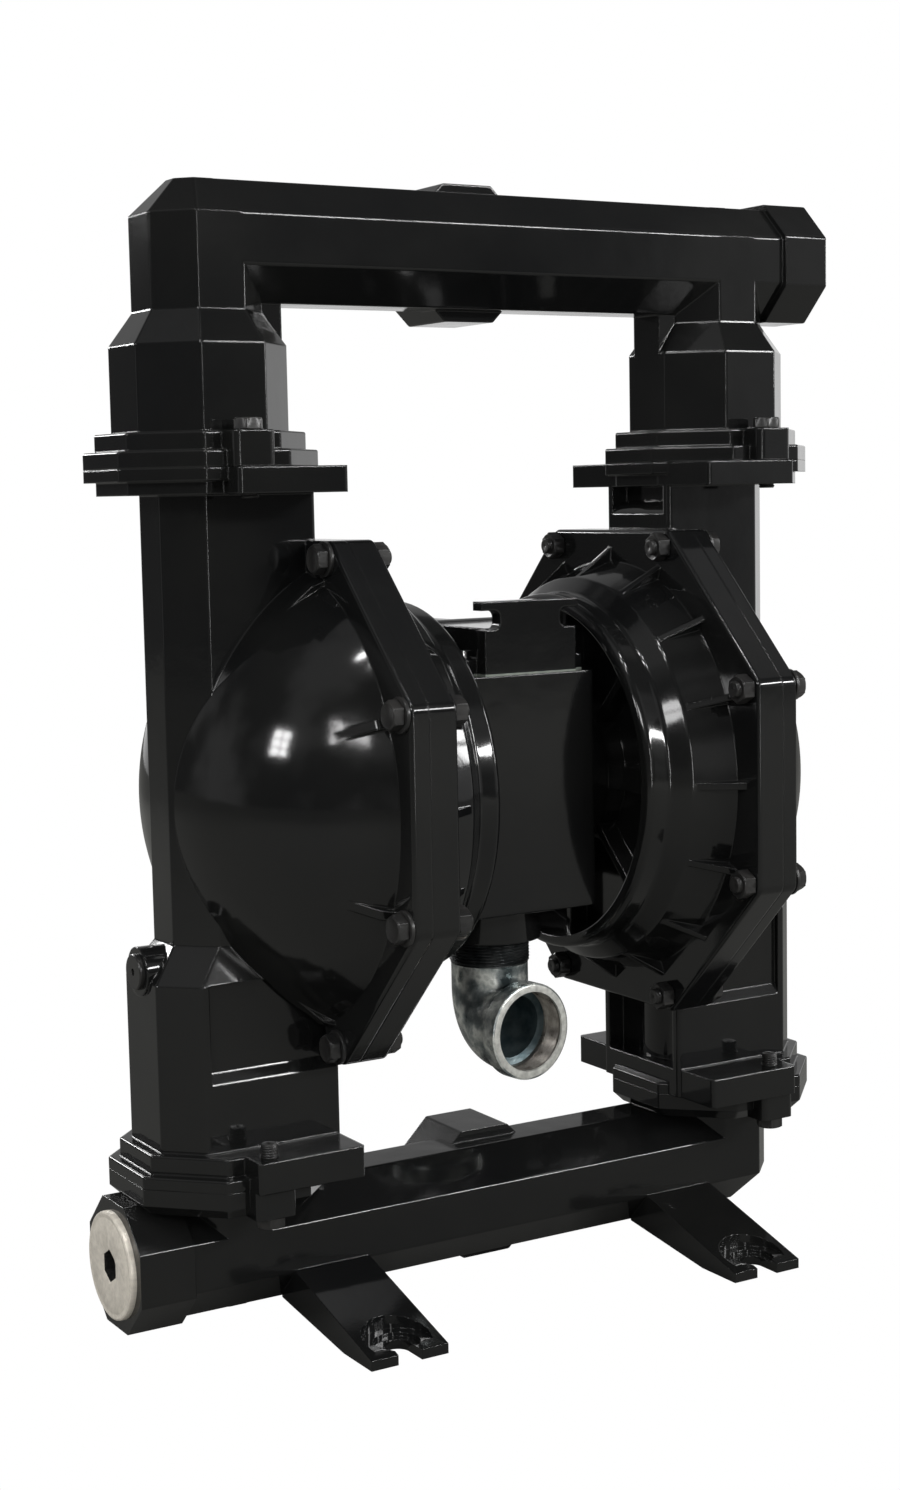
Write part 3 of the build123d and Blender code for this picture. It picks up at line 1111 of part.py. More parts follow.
for level_name, joint_z in (("inlet", LOWER_JOINT_Z), ("outlet", UPPER_JOINT_Z)):
    for side, label in ((-1, "left"), (1, "right")):
        with BuildPart() as valve_seat:
            with BuildSketch(across_y(0, side * COLUMN_X, joint_z)):
                with BuildLine():
                    Polyline(*seat_outline(), close=True)
                make_face()
            revolve(axis=Axis((side * COLUMN_X, 0, joint_z), (0, 0, 1)))
        save(valve_seat.part, f"{label}_{level_name}_seat")

        with BuildPart(level(joint_z + BALL_RISE, side * COLUMN_X)) as valve_ball:
            Sphere(BALL_R)
        save(valve_ball.part, f"{label}_{level_name}_ball")


# ---- fasteners ------------------------------------------------------------------------
def hex_bolt(plane, length, head_t=HEAD_T):
    """Hexagon bolt: its head stands on the plane and its shank runs the other way."""
    with BuildSketch(plane) as head:
        RegularPolygon(HEX_AF / 2, 6, major_radius=False)
    extrude(head.sketch, amount=head_t)
    with BuildSketch(plane) as shank:
        Circle(BOLT_R)
    extrude(shank.sketch, amount=-length)


def octagon_bolt_plane(x, n, side):
    """Plane square to the shaft at the n-th corner of the octagon, facing outward."""
    turn = radians(22.5 + 45 * n)
    y = OCT_BOLT_R * cos(turn)
    z = SHAFT_Z + OCT_BOLT_R * sin(turn)
    return Plane(origin=(side * x, y, z), x_dir=(0, -sin(turn), cos(turn)), z_dir=(side, 0, 0))


OCT_BOLT_L = WASHER_T + FLUID_FLANGE_T + AIR_FLANGE_T + NUT_T + OCT_BOLT_TAIL

for side, label in ((-1, "left"), (1, "right")):
    with BuildPart() as flange_bolts:
        for n in range(8):
            hex_bolt(octagon_bolt_plane(FLUID_FLANGE_X + WASHER_T, n, side), OCT_BOLT_L)
    save(flange_bolts.part, f"{label}_flange_bolts")

    with BuildPart() as flange_washers:
        for n in range(8):
            with BuildSketch(octagon_bolt_plane(FLUID_FLANGE_X, n, side)):
                Circle(WASHER_R)
                Circle(BOLT_R + RUNNING_FIT, mode=Mode.SUBTRACT)
            extrude(amount=WASHER_T)
    save(flange_washers.part, f"{label}_flange_washers")

    with BuildPart() as flange_nuts:
        for n in range(8):
            with BuildSketch(octagon_bolt_plane(AIR_FLANGE_X, n, side)):
                RegularPolygon(HEX_AF / 2, 6, major_radius=False)
                Circle(BOLT_R + RUNNING_FIT, mode=Mode.SUBTRACT)
            extrude(amount=-NUT_T)
    save(flange_nuts.part, f"{label}_flange_nuts")

OUTLET_BOLT_L = UPPER_FLANGE_T + TOP_PLATE_T + OCT_BOLT_TAIL
INLET_BOLT_L = INLET_FLANGE_T + BOTTOM_PLATE_T + JOINT_BOLT_TAIL

with BuildPart() as outlet_joint_bolts:
    for x in (-COLUMN_X, COLUMN_X):
        for y in (-JOINT_BOLT_Y, JOINT_BOLT_Y):
            hex_bolt(level(UPPER_JOINT_Z + UPPER_FLANGE_T, x, y), OUTLET_BOLT_L)
save(outlet_joint_bolts.part, "outlet_joint_bolts")

with BuildPart() as inlet_joint_bolts:
    for x in (-COLUMN_X, COLUMN_X):
        for y in (-JOINT_BOLT_Y, JOINT_BOLT_Y):
            under = Plane(origin=(x, y, INLET_FLANGE_Z), x_dir=(1, 0, 0), z_dir=(0, 0, -1))
            hex_bolt(under, INLET_BOLT_L)
save(inlet_joint_bolts.part, "inlet_joint_bolts")


# ---- exhaust elbow --------------------------------------------------------------------
FORWARD = (sin(radians(ELBOW_TURN)), -cos(radians(ELBOW_TURN)), 0)
SIDEWAYS = (cos(radians(ELBOW_TURN)), sin(radians(ELBOW_TURN)), 0)
ELBOW_SIDE = Plane(origin=(0, EXHAUST_Y, ELBOW_Z), x_dir=FORWARD, z_dir=SIDEWAYS)


def elbow_mouth(distance):
    """Plane across the elbow's mouth, so far forward of its upright axis."""
    origin = (distance * FORWARD[0], EXHAUST_Y + distance * FORWARD[1], ELBOW_Z)
    return Plane(origin=origin, x_dir=SIDEWAYS, z_dir=FORWARD)


with BuildPart() as exhaust_elbow:
    up = ELBOW_SIDE.y_dir.Z
    with BuildLine(ELBOW_SIDE) as path:
        Line((0, up * (ELBOW_THREAD_TOP_Z - ELBOW_Z)), (0, up * ELBOW_BEND_R))
        CenterArc((ELBOW_BEND_R, up * ELBOW_BEND_R), ELBOW_BEND_R, 180, up * 90)
        Line((ELBOW_BEND_R, 0), (ELBOW_REACH, 0))
    with BuildSketch(level(ELBOW_THREAD_TOP_Z, 0, EXHAUST_Y)):
        Circle(ELBOW_R)
    sweep(path=path.line)
    with BuildSketch(level(ELBOW_THREAD_BOTTOM_Z, 0, EXHAUST_Y)):
        Circle(ELBOW_THREAD_R)
    extrude(amount=ELBOW_THREAD_TOP_Z - ELBOW_THREAD_BOTTOM_Z)
    with BuildSketch(elbow_mouth(ELBOW_SWELL_Y)):
        Circle(ELBOW_R)
    with BuildSketch(elbow_mouth(ELBOW_REACH - ELBOW_BEAD_L + SINK)):
        Circle(ELBOW_SWELL_R)
    loft(ruled=True)
    with BuildSketch(elbow_mouth(ELBOW_REACH)):
        Circle(ELBOW_BEAD_R)
    extrude(amount=-ELBOW_BEAD_L)
    with BuildSketch(level(ELBOW_THREAD_TOP_Z, 0, EXHAUST_Y)):
        Circle(ELBOW_BORE_R)
    sweep(path=path.line, mode=Mode.SUBTRACT)
    with BuildSketch(elbow_mouth(ELBOW_REACH)):
        Circle(ELBOW_TAP_R)
    extrude(amount=-ELBOW_TAP_DEPTH, mode=Mode.SUBTRACT)
save(exhaust_elbow.part, "exhaust_elbow")


# ---- plugs ----------------------------------------------------------------------------
for side, z, name in ((-1, INLET_Z, "inlet_port_plug"), (1, OUTLET_Z, "outlet_port_plug")):
    with BuildPart() as port_plug:
        facing = Plane(origin=(side * PORT_END_X, 0, z), x_dir=(0, 1, 0), z_dir=(side, 0, 0))
        with BuildSketch(facing):
            Circle(PORT_TAP_R - PLUG_FIT)
        extrude(amount=-PLUG_SHANK_L)
        with BuildSketch(facing):
            Circle(PLUG_HEAD_R)
        extrude(amount=PLUG_HEAD_T)
        chamfer(edges().filter_by(GeomType.CIRCLE).group_by(Axis.X)[-1 if side > 0 else 0], PLUG_RIM)
        with BuildSketch(facing.offset(PLUG_HEAD_T)):
            RegularPolygon(PLUG_HEX_AF / 2, 6, major_radius=False)
        extrude(amount=-PLUG_HEX_DEPTH, mode=Mode.SUBTRACT)
    save(port_plug.part, name)

for side, label in ((-1, "left"), (1, "right")):
    with BuildPart() as drain_plug:
        facing = Plane(origin=(side * DRAIN_BOSS_X, 0, DRAIN_Z), x_dir=(0, 1, 0), z_dir=(side, 0, 0))
        with BuildSketch(facing):
            Circle(DRAIN_TAP_R - PLUG_FIT)
        extrude(amount=-DRAIN_TAP_DEPTH)
        with BuildSketch(facing):
            Circle(DRAIN_HEAD_R)
        extrude(amount=DRAIN_HEAD_T)
        with BuildSketch(facing.offset(DRAIN_HEAD_T)):
            Circle(DRAIN_HOLE_R)
        extrude(amount=-DRAIN_HEAD_T, mode=Mode.SUBTRACT)
    save(drain_plug.part, f"{label}_drain_plug")
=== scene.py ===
# %% [markdown]
# # A cast-metal double diaphragm pump
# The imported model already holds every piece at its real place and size. This lesson dresses it:
# the castings get paint whose shading rounds their edges, and the bolts, nuts, washers, plugs and
# the exhaust elbow are made again as fine surfaces worked out with numpy.

# %% Load the pump's frame
import json
import math

import bmesh
import bpy
import numpy as np
from mathutils import Matrix, Vector


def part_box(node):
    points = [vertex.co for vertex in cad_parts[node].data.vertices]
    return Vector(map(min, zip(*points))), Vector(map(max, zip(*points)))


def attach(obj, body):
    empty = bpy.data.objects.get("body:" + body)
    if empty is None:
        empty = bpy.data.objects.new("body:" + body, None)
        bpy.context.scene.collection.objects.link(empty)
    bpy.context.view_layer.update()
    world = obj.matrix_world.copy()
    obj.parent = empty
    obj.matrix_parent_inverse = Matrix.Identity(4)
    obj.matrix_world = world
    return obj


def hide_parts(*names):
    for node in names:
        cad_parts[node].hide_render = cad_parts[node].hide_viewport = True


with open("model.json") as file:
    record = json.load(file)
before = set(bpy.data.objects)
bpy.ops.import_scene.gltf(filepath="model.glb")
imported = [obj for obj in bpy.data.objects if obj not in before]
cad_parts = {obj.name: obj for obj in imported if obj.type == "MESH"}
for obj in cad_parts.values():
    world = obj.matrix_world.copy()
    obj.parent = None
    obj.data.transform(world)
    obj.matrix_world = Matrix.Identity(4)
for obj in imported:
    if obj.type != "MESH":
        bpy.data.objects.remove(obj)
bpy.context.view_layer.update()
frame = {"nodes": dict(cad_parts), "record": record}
nodes = frame["nodes"]
body_of_node = {n: b for b, group in frame["record"]["behaviour"]["bodies"].items() for n in group}

# %% [markdown]
# ## The camera
# A camera is a place and three directions. The view looks slightly down on the pump from its left
# front corner, so the axes come from a heading, a pitch and a small roll, written as plain vectors.

# %% Camera
CAMERA_PLACE = (-0.8676, -1.4195, 0.5736)
HEADING = 0.537343
PITCH = -0.110214
ROLL = -0.0199205
LENS_MM = 55.0
SENSOR_MM = 36.0


def put_in_scene(name, data):
    """New object that holds a mesh, a lamp or a camera, linked to the scene."""
    thing = bpy.data.objects.new(name, data)
    bpy.context.scene.collection.objects.link(thing)
    return thing


def camera_axes(heading, pitch, roll):
    """Forward, right and up of a camera. Heading turns from +Y towards +X, pitch lifts and roll
    tilts: forward is (sin heading cos pitch, cos heading cos pitch, sin pitch)."""
    forward = np.array([math.sin(heading) * math.cos(pitch),
                        math.cos(heading) * math.cos(pitch), math.sin(pitch)])
    side = np.cross(forward, [0, 0, 1])
    side /= np.linalg.norm(side)
    up = np.cross(side, forward)
    right = side * math.cos(roll) + up * math.sin(roll)
    above = up * math.cos(roll) - side * math.sin(roll)
    return forward, right, above


def place_camera():
    """Camera at its place: it looks along its own -Z, so its Z column is forward reversed."""
    forward, right, above = camera_axes(HEADING, PITCH, ROLL)
    data = bpy.data.cameras.new("camera")
    data.lens = LENS_MM
    data.sensor_width = SENSOR_MM
    data.sensor_fit = "AUTO"
    camera = put_in_scene("camera", data)
    columns = np.column_stack([right, above, -forward])
    camera.matrix_world = Matrix.Translation(CAMERA_PLACE) @ Matrix(columns.tolist()).to_4x4()
    bpy.context.scene.camera = camera
    return camera


camera = place_camera()
print("camera at", tuple(round(v, 3) for v in camera.location))

# %% [markdown]
# ## The studio
# Gloss black shows little but what it reflects, so the room matters more than the lamps. The
# backdrop behind the pump is white and the room in front is dim: a reflection brightens smoothly
# from the front of the room to the backdrop.

# %% World
BACKDROP_WAY = (0.8, 0.6, 0.0)
BAND_SIDEWAYS = (0.25, 0.85)
BAND_TOP = (0.1, 0.32)
CLUTTER_SCALE = 1.7
CLUTTER_DETAIL = 3.0
CLUTTER_STEP = (0.42, 0.6)


def node_tree(owner):
    """Emptied nodes and links of a material or a world."""
    owner.use_nodes = True
    owner.node_tree.nodes.clear()
    return owner.node_tree.nodes, owner.node_tree.links


def blend_values(made, links, factor, low, high):
    """Mix of two numbers, each a value or a socket, by a factor socket."""
    mix = made.new("ShaderNodeMix")
    links.new(factor, mix.inputs[0])
    for socket, value in ((mix.inputs[2], low), (mix.inputs[3], high)):
        if isinstance(value, float):
            socket.default_value = value
        else:
            links.new(value, socket)
    return mix.outputs[0]


def ramp_number(made, links, value, low, high, start, end):
    """S-curve of a socket from start to end as its value goes from low to high."""
    ramp = made.new("ShaderNodeMapRange")
    ramp.interpolation_type = "SMOOTHSTEP"
    limits = (("From Min", low), ("From Max", high), ("To Min", start), ("To Max", end))
    for name, number in limits:
        ramp.inputs[name].default_value = number
    links.new(value, ramp.inputs["Value"])
    return ramp.outputs["Result"]


def studio_world(light_level, dim_level, backdrop_level):
    """World: even light on matt surfaces, and for reflections a white band behind the pump in a dim
    room. The band is wide along the horizon and ends a little above it. Noise makes the room's
    walls uneven between the two dim levels, since a real room is never one grey."""
    world = bpy.data.worlds.new("studio")
    bpy.context.scene.world = world
    made, links = node_tree(world)
    path = made.new("ShaderNodeLightPath")
    place = made.new("ShaderNodeTexCoord")
    towards = made.new("ShaderNodeVectorMath")
    towards.operation = "DOT_PRODUCT"
    towards.inputs[1].default_value = BACKDROP_WAY
    height = made.new("ShaderNodeSeparateXYZ")
    band = made.new("ShaderNodeMath")
    band.operation = "MULTIPLY"
    either = made.new("ShaderNodeMath")
    either.operation = "MAXIMUM"
    background = made.new("ShaderNodeBackground")
    background.inputs["Color"].default_value = (1, 1, 1, 1)
    output = made.new("ShaderNodeOutputWorld")
    links.new(place.outputs["Generated"], towards.inputs[0])
    links.new(place.outputs["Generated"], height.inputs[0])
    sideways = ramp_number(made, links, towards.outputs["Value"], *BAND_SIDEWAYS, 0.0, 1.0)
    below_top = ramp_number(made, links, height.outputs["Z"], *BAND_TOP, 1.0, 0.0)
    links.new(sideways, band.inputs[0])
    links.new(below_top, band.inputs[1])
    clutter = made.new("ShaderNodeTexNoise")
    clutter.inputs["Scale"].default_value = CLUTTER_SCALE
    clutter.inputs["Detail"].default_value = CLUTTER_DETAIL
    links.new(place.outputs["Generated"], clutter.inputs["Vector"])
    room = ramp_number(made, links, clutter.outputs["Fac"], *CLUTTER_STEP, *dim_level)
    reflected = blend_values(made, links, band.outputs[0], room, backdrop_level)
    links.new(path.outputs["Is Camera Ray"], either.inputs[0])
    links.new(path.outputs["Is Transmission Ray"], either.inputs[1])
    unseen = blend_values(made, links, path.outputs["Is Glossy Ray"], light_level, reflected)
    level = blend_values(made, links, either.outputs[0], unseen, 1.0)
    links.new(level, background.inputs["Strength"])
    links.new(background.outputs[0], output.inputs["Surface"])


studio_world(light_level=0.6, dim_level=(0.06, 0.34), backdrop_level=0.85)
bpy.context.scene.view_settings.view_transform = "Standard"
print("world set, view transform", bpy.context.scene.view_settings.view_transform)

# %% [markdown]
# The windows are lamps that the camera doesn't see but the paint does. Each is a few panes side by
# side, because a single rectangle looks like a lamp and a row of panes looks like a workshop.

# %% Windows
PANE_GAP = 0.12
TUBE_GAP = 0.72


def window(name, place, target, size, panes, radiance, gap=PANE_GAP):
    """Rows of area lamps that face a point: size is the whole window, panes its columns and rows,
    and gap the share of each pane taken by its bars. A lamp's power is radiance x pi x area."""
    facing = (Vector(target) - Vector(place)).to_track_quat("-Z", "Y")
    wide, high = size[0] / panes[0], size[1] / panes[1]
    for column in range(panes[0]):
        for row in range(panes[1]):
            data = bpy.data.lights.new(f"{name}_{column}_{row}", "AREA")
            data.shape = "RECTANGLE"
            data.size = wide * (1 - gap)
            data.size_y = high * (1 - gap)
            data.energy = radiance * math.pi * data.size * data.size_y
            lamp = put_in_scene(data.name, data)
            shift = Vector(((column - (panes[0] - 1) / 2) * wide,
                            (row - (panes[1] - 1) / 2) * high, 0))
            lamp.location = Vector(place) + facing @ shift
            lamp.rotation_euler = facing.to_euler()


middle = (0.0, 0.0, 0.4)
window("side", (-2.45, -0.33, 1.28), middle, (0.34, 0.42), (2, 3), 26)
window("front", (-1.75, -1.35, 1.5), middle, (0.75, 0.4), (3, 2), 14)
window("high", (2.5, -4.3, 2.2), middle, (2.6, 0.4), (4, 1), 60)
window("slit", (-0.62, -2.9, 0.5), middle, (0.14, 1.5), (1, 3), 16)
window("far_right", (2.5, -0.9, 1.3), middle, (0.3, 1.2), (1, 3), 18)
window("back", (-0.9, 2.5, 1.25), middle, (1.0, 0.25), (3, 1), 30)
window("tubes", (-0.75, -0.95, 2.9), (-0.75, -0.95, 0.0), (1.8, 0.7), (2, 2), 50, gap=TUBE_GAP)

# %% [markdown]
# The floor is dim concrete, and the castings' lower halves reflect it. The camera itself sees it
# as white as the backdrop.

# %% Floor
FLOOR_HALF = 6.0
FLOOR_DROP = 0.0005
CONCRETE = (0.2, 0.2, 0.19, 1)
WHITE_GLOW = 1.0


def floor_plane():
    """Square floor a little under the pump: concrete to every ray but the camera's."""
    mesh = bpy.data.meshes.new("floor")
    h = FLOOR_HALF
    mesh.from_pydata([(-h, -h, 0), (h, -h, 0), (h, h, 0), (-h, h, 0)], [], [(0, 1, 2, 3)])
    floor = put_in_scene("floor", mesh)
    floor.location.z = -FLOOR_DROP
    material = bpy.data.materials.new("white_floor")
    made, links = node_tree(material)
    shader = made.new("ShaderNodeBsdfDiffuse")
    shader.inputs["Color"].default_value = CONCRETE
    glow = made.new("ShaderNodeEmission")
    glow.inputs["Strength"].default_value = WHITE_GLOW
    path = made.new("ShaderNodeLightPath")
    mix = made.new("ShaderNodeMixShader")
    output = made.new("ShaderNodeOutputMaterial")
    links.new(path.outputs["Is Camera Ray"], mix.inputs["Fac"])
    links.new(shader.outputs[0], mix.inputs[1])
    links.new(glow.outputs[0], mix.inputs[2])
    links.new(mix.outputs[0], output.inputs["Surface"])
    floor.data.materials.append(material)
    return floor


floor = floor_plane()
print("floor", 2 * FLOOR_HALF, "m square,", len(floor.data.materials), "material")

# %% [markdown]
# ## Finishes
# Every finish below is the same small recipe: noise on Object coordinates makes patches and grain,
# a ramp turns the patches into colour, and bump gives the grain its height. What differs is the
# scale of each noise, the colours and how sharp the reflections are.

# %% The recipe
BUMP_DETAIL = 2.0
EDGE_SAMPLES = 8


def noise(made, links, place, scale, detail, stretch):
    """Noise texture in object space, stretched per axis where stretch is given."""
    texture = made.new("ShaderNodeTexNoise")
    texture.inputs["Scale"].default_value = scale
    texture.inputs["Detail"].default_value = detail
    source = place.outputs["Object"]
    if stretch:
        mapping = made.new("ShaderNodeMapping")
        mapping.inputs["Scale"].default_value = stretch
        links.new(source, mapping.inputs["Vector"])
        source = mapping.outputs["Vector"]
    links.new(source, texture.inputs["Vector"])
    return texture.outputs["Fac"]


def ramp_colours(made, links, factor, stops):
    """Colour ramp through (position, colour) stops."""
    ramp = made.new("ShaderNodeValToRGB")
    elements = ramp.color_ramp.elements
    elements[0].position, elements[0].color = stops[0][0], (*stops[0][1], 1)
    elements[1].position, elements[1].color = stops[-1][0], (*stops[-1][1], 1)
    for position, colour in stops[1:-1]:
        elements.new(position).color = (*colour, 1)
    links.new(factor, ramp.inputs["Fac"])
    return ramp.outputs["Color"]


def finish(name, stops, patch, roughness, grain, metallic=0.0, edge=0.0):
    """Procedural finish.

    stops: colours over the patch noise; patch: (scale, detail, stretch) of that noise;
    roughness: (low, high) over the patches; grain: list of (scale, strength, distance, stretch)
    bumps, coarse to fine; edge: radius over which sharp corners catch the light.
    """
    material = bpy.data.materials.new(name)
    made, links = node_tree(material)
    place = made.new("ShaderNodeTexCoord")
    shader = made.new("ShaderNodeBsdfPrincipled")
    output = made.new("ShaderNodeOutputMaterial")
    patches = noise(made, links, place, *patch)
    links.new(ramp_colours(made, links, patches, stops), shader.inputs["Base Color"])
    normal = None
    if edge:
        bevel = made.new("ShaderNodeBevel")
        bevel.samples = EDGE_SAMPLES
        bevel.inputs["Radius"].default_value = edge
        normal = bevel.outputs["Normal"]
    for scale, strength, distance, stretch in grain:
        bump = made.new("ShaderNodeBump")
        bump.inputs["Strength"].default_value = strength
        bump.inputs["Distance"].default_value = distance
        height = noise(made, links, place, scale, BUMP_DETAIL, stretch)
        links.new(height, bump.inputs["Height"])
        if normal is not None:
            links.new(normal, bump.inputs["Normal"])
        normal = bump.outputs["Normal"]
    if normal is not None:
        links.new(normal, shader.inputs["Normal"])
    smear = made.new("ShaderNodeMapRange")
    smear.inputs["To Min"].default_value = roughness[0]
    smear.inputs["To Max"].default_value = roughness[1]
    links.new(patches, smear.inputs["Value"])
    links.new(smear.outputs["Result"], shader.inputs["Roughness"])
    shader.inputs["Metallic"].default_value = metallic
    links.new(shader.outputs[0], output.inputs["Surface"])
    return material


print("recipe ready, each bump with noise of detail", BUMP_DETAIL)

# %% [markdown]
# Enamel over a sand casting fills its grain but not its waves, so the bump is broad and low. The
# screws wear the same paint, thinner and duller. Malleable iron that has been hot-dip galvanised
# is mottled in cool greys. The plugs are plain turned steel, and their faces are warm and pale.

# %% The pump's finishes
WAVES = [(16.0, 0.25, 0.0016, None), (150.0, 0.06, 0.0004, None)]
PAINT = dict(stops=[(0.3, (0.0045, 0.0047, 0.005)), (0.75, (0.0078, 0.0079, 0.0075))],
             patch=(9.0, 3.0, None), roughness=(0.05, 0.13), grain=WAVES)
gloss_black = finish("gloss_black", edge=0.0018, **PAINT)
gloss_black_fine = finish("gloss_black_fine", edge=0.0007, **PAINT)
fastener_black = finish("fastener_black", [(0.35, (0.012, 0.012, 0.012)),
                                           (0.7, (0.022, 0.021, 0.02))],
                        (60.0, 3.0, None), (0.22, 0.42), [(420.0, 0.25, 0.0003, None)], edge=0.0005)
zinc = finish("galvanised", [(0.32, (0.06, 0.078, 0.082)), (0.46, (0.27, 0.3, 0.3)),
                             (0.6, (0.85, 0.87, 0.82)), (0.72, (0.16, 0.19, 0.19))],
              (60.0, 6.0, None), (0.12, 0.34),
              [(55.0, 0.3, 0.0012, None), (520.0, 0.5, 0.0005, None)], metallic=0.65, edge=0.0008)
cut_iron = finish("cut_iron", [(0.3, (0.5, 0.5, 0.47)), (0.7, (0.78, 0.78, 0.73))],
                  (240.0, 5.0, None), (0.25, 0.5), [(700.0, 0.4, 0.0003, None)], metallic=0.6)
thread_steel = finish("thread_steel", [(0.3, (0.2, 0.18, 0.16)), (0.7, (0.5, 0.47, 0.43))],
                      (130.0, 4.0, None), (0.2, 0.4), [(300.0, 0.15, 0.0003, None)], metallic=0.9)
plug_face = finish("turned_steel", [(0.25, (0.68, 0.63, 0.55)), (0.7, (0.9, 0.84, 0.74))],
                   (45.0, 4.0, (1, 6, 6)), (0.26, 0.42), [(500.0, 0.2, 0.0002, None)], metallic=0.3)
# The socket's inside is painted near black: painted shade in the hexagonal well.
socket_painted_shade = finish("painted_socket_shade", [(0.3, (0.02, 0.02, 0.02)), (0.7, (0.05, 0.047, 0.043))],
                     (300.0, 3.0, None), (0.35, 0.6), [(500.0, 0.2, 0.0002, None)], metallic=0.6)
thread_dark = finish("thread_dark", [(0.3, (0.03, 0.034, 0.036)), (0.7, (0.1, 0.105, 0.105))],
                     (160.0, 4.0, None), (0.25, 0.45), [(400.0, 0.3, 0.0003, None)], metallic=0.8)
# The elbow's rough cast inside: zinc painted darker than the outside, as painted shade in the bore.
bore_zinc_painted_shade = finish("bore_zinc_painted_shade", [(0.3, (0.05, 0.08, 0.09)), (0.7, (0.15, 0.19, 0.2))],
                   (90.0, 4.0, None), (0.25, 0.5), [(260.0, 0.5, 0.0006, None)], metallic=0.7)
bright_steel = finish("bright_steel", [(0.3, (0.45, 0.45, 0.45)), (0.7, (0.65, 0.65, 0.64))],
                      (90.0, 3.0, (0.2, 1, 1)), (0.15, 0.3), [(600.0, 0.1, 0.0002, None)],
                      metallic=1.0)
aluminium = finish("cast_aluminium", [(0.3, (0.5, 0.5, 0.51)), (0.7, (0.68, 0.68, 0.69))],
                   (80.0, 3.0, None), (0.3, 0.45), [(300.0, 0.3, 0.0003, None)], metallic=1.0)
bronze = finish("bronze", [(0.3, (0.45, 0.3, 0.13)), (0.7, (0.62, 0.44, 0.22))],
                (80.0, 3.0, None), (0.25, 0.4), [(300.0, 0.2, 0.0002, None)], metallic=1.0)
rubber = finish("black_rubber", [(0.3, (0.004, 0.004, 0.004)), (0.7, (0.009, 0.0088, 0.0085))],
                (60.0, 3.0, None), (0.5, 0.7), [(350.0, 0.3, 0.0003, None)])
gasket_sheet = finish("gasket_sheet", [(0.3, (0.12, 0.14, 0.12)), (0.7, (0.2, 0.22, 0.19))],
                      (200.0, 5.0, None), (0.6, 0.8), [(500.0, 0.3, 0.0003, None)])

FINISH_OF_SLOT = {
    "painted_fasteners": fastener_black, "bright_steel": bright_steel, "seat_steel": bright_steel,
    "plug_steel": plug_face, "galvanised_iron": zinc, "bronze": bronze, "gasket": gasket_sheet,
    "plate_aluminium": aluminium, "black_rubber": rubber, "ball_rubber": rubber,
}
print(len(FINISH_OF_SLOT) + 1, "finishes by slot")

# %% [markdown]
# ## The castings' edges
# A cast edge is never sharp: the pattern has a radius and the paint adds to it. A copy of each
# casting is merged, so that its faces share points, and shaded smooth except at real corners.

# %% Castings
CASTINGS = ["outlet_manifold", "inlet_manifold", "left_fluid_cap", "right_fluid_cap",
            "left_air_cap", "right_air_cap", "centre_body", "air_valve_body"]
SMOOTH_BELOW = math.radians(20)
SAME_POINT = 1e-6


def stand_for(piece, node):
    """A piece rides on its node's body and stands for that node."""
    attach(piece, body_of_node[node])
    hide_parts(node)


def put_on(piece, node, material):
    """Give a piece one material, then let it stand for its node."""
    piece.data.materials.clear()
    piece.data.materials.append(material)
    stand_for(piece, node)


def shade_smooth(shape, below):
    """Smooth shading on a bmesh, with sharp edges where two faces turn by an angle or more."""
    for edge in shape.edges:
        edge.smooth = len(edge.link_faces) == 2 and edge.calc_face_angle(0) < below
    for face in shape.faces:
        face.smooth = True


def merged_copy(node, name):
    """Copy of a node's mesh with its doubled points merged and its gentle edges shaded smooth."""
    mesh = nodes[node].data.copy()
    shape = bmesh.new()
    shape.from_mesh(mesh)
    bmesh.ops.remove_doubles(shape, verts=shape.verts, dist=SAME_POINT)
    shade_smooth(shape, SMOOTH_BELOW)
    shape.to_mesh(mesh)
    shape.free()
    piece = put_in_scene(name, mesh)
    weights = piece.modifiers.new("even_shading", "WEIGHTED_NORMAL")
    weights.keep_sharp = True
    return piece


for node in CASTINGS:
    paint = gloss_black_fine if node == "inlet_manifold" else gloss_black
    put_on(merged_copy(node, node + "_painted"), node, paint)
print(len(CASTINGS), "castings painted")

# %% [markdown]
# ## Surfaces from grids
# A turned piece is a grid: one way runs along its profile, the other once round its axis. If the
# radius may also change round the axis, the same grid makes hexagons and screw threads, so one
# function below makes nearly every screw and plug of the pump.

# %% Grid surface
def grid_mesh(name, points):
    """Mesh from a (rows, columns, 3) grid of points, closed round its columns. Each face joins two
    neighbours in a row to the same two in the next row."""
    rows, columns = points.shape[:2]
    index = np.arange(rows * columns).reshape(rows, columns)
    beside = np.roll(index, -1, axis=1)
    quads = np.stack([index[:-1], beside[:-1], beside[1:], index[1:]], axis=-1).reshape(-1, 4)
    mesh = bpy.data.meshes.new(name)
    mesh.from_pydata(points.reshape(-1, 3).tolist(), [], quads.tolist())
    return mesh


def frame_axes(along):
    """Two directions square to an axis, which with it make a right-handed set."""
    along = np.asarray(along, float) / np.linalg.norm(along)
    helper = np.array([0, 0, 1.0]) if abs(along[2]) < 0.9 else np.array([1.0, 0, 0])
    first = np.cross(helper, along)
    first /= np.linalg.norm(first)
    return along, first, np.cross(along, first)


def turned_points(profile, radius_of, start, along, segments):
    """Grid of a turned form: each profile row is (height, radius), and the point at an angle is
    start + height x axis + radius_of(row radius, height, angle) x direction at that angle."""
    along, first, second = frame_axes(along)
    profile = np.asarray(profile, float)
    angle = np.linspace(0, 2 * np.pi, segments, endpoint=False)
    height = profile[:, :1] * np.ones_like(angle)
    radius = radius_of(profile[:, 1:2], height, angle)
    direction = np.cos(angle)[:, None] * first + np.sin(angle)[:, None] * second
    return np.asarray(start) + height[..., None] * along + radius[..., None] * direction


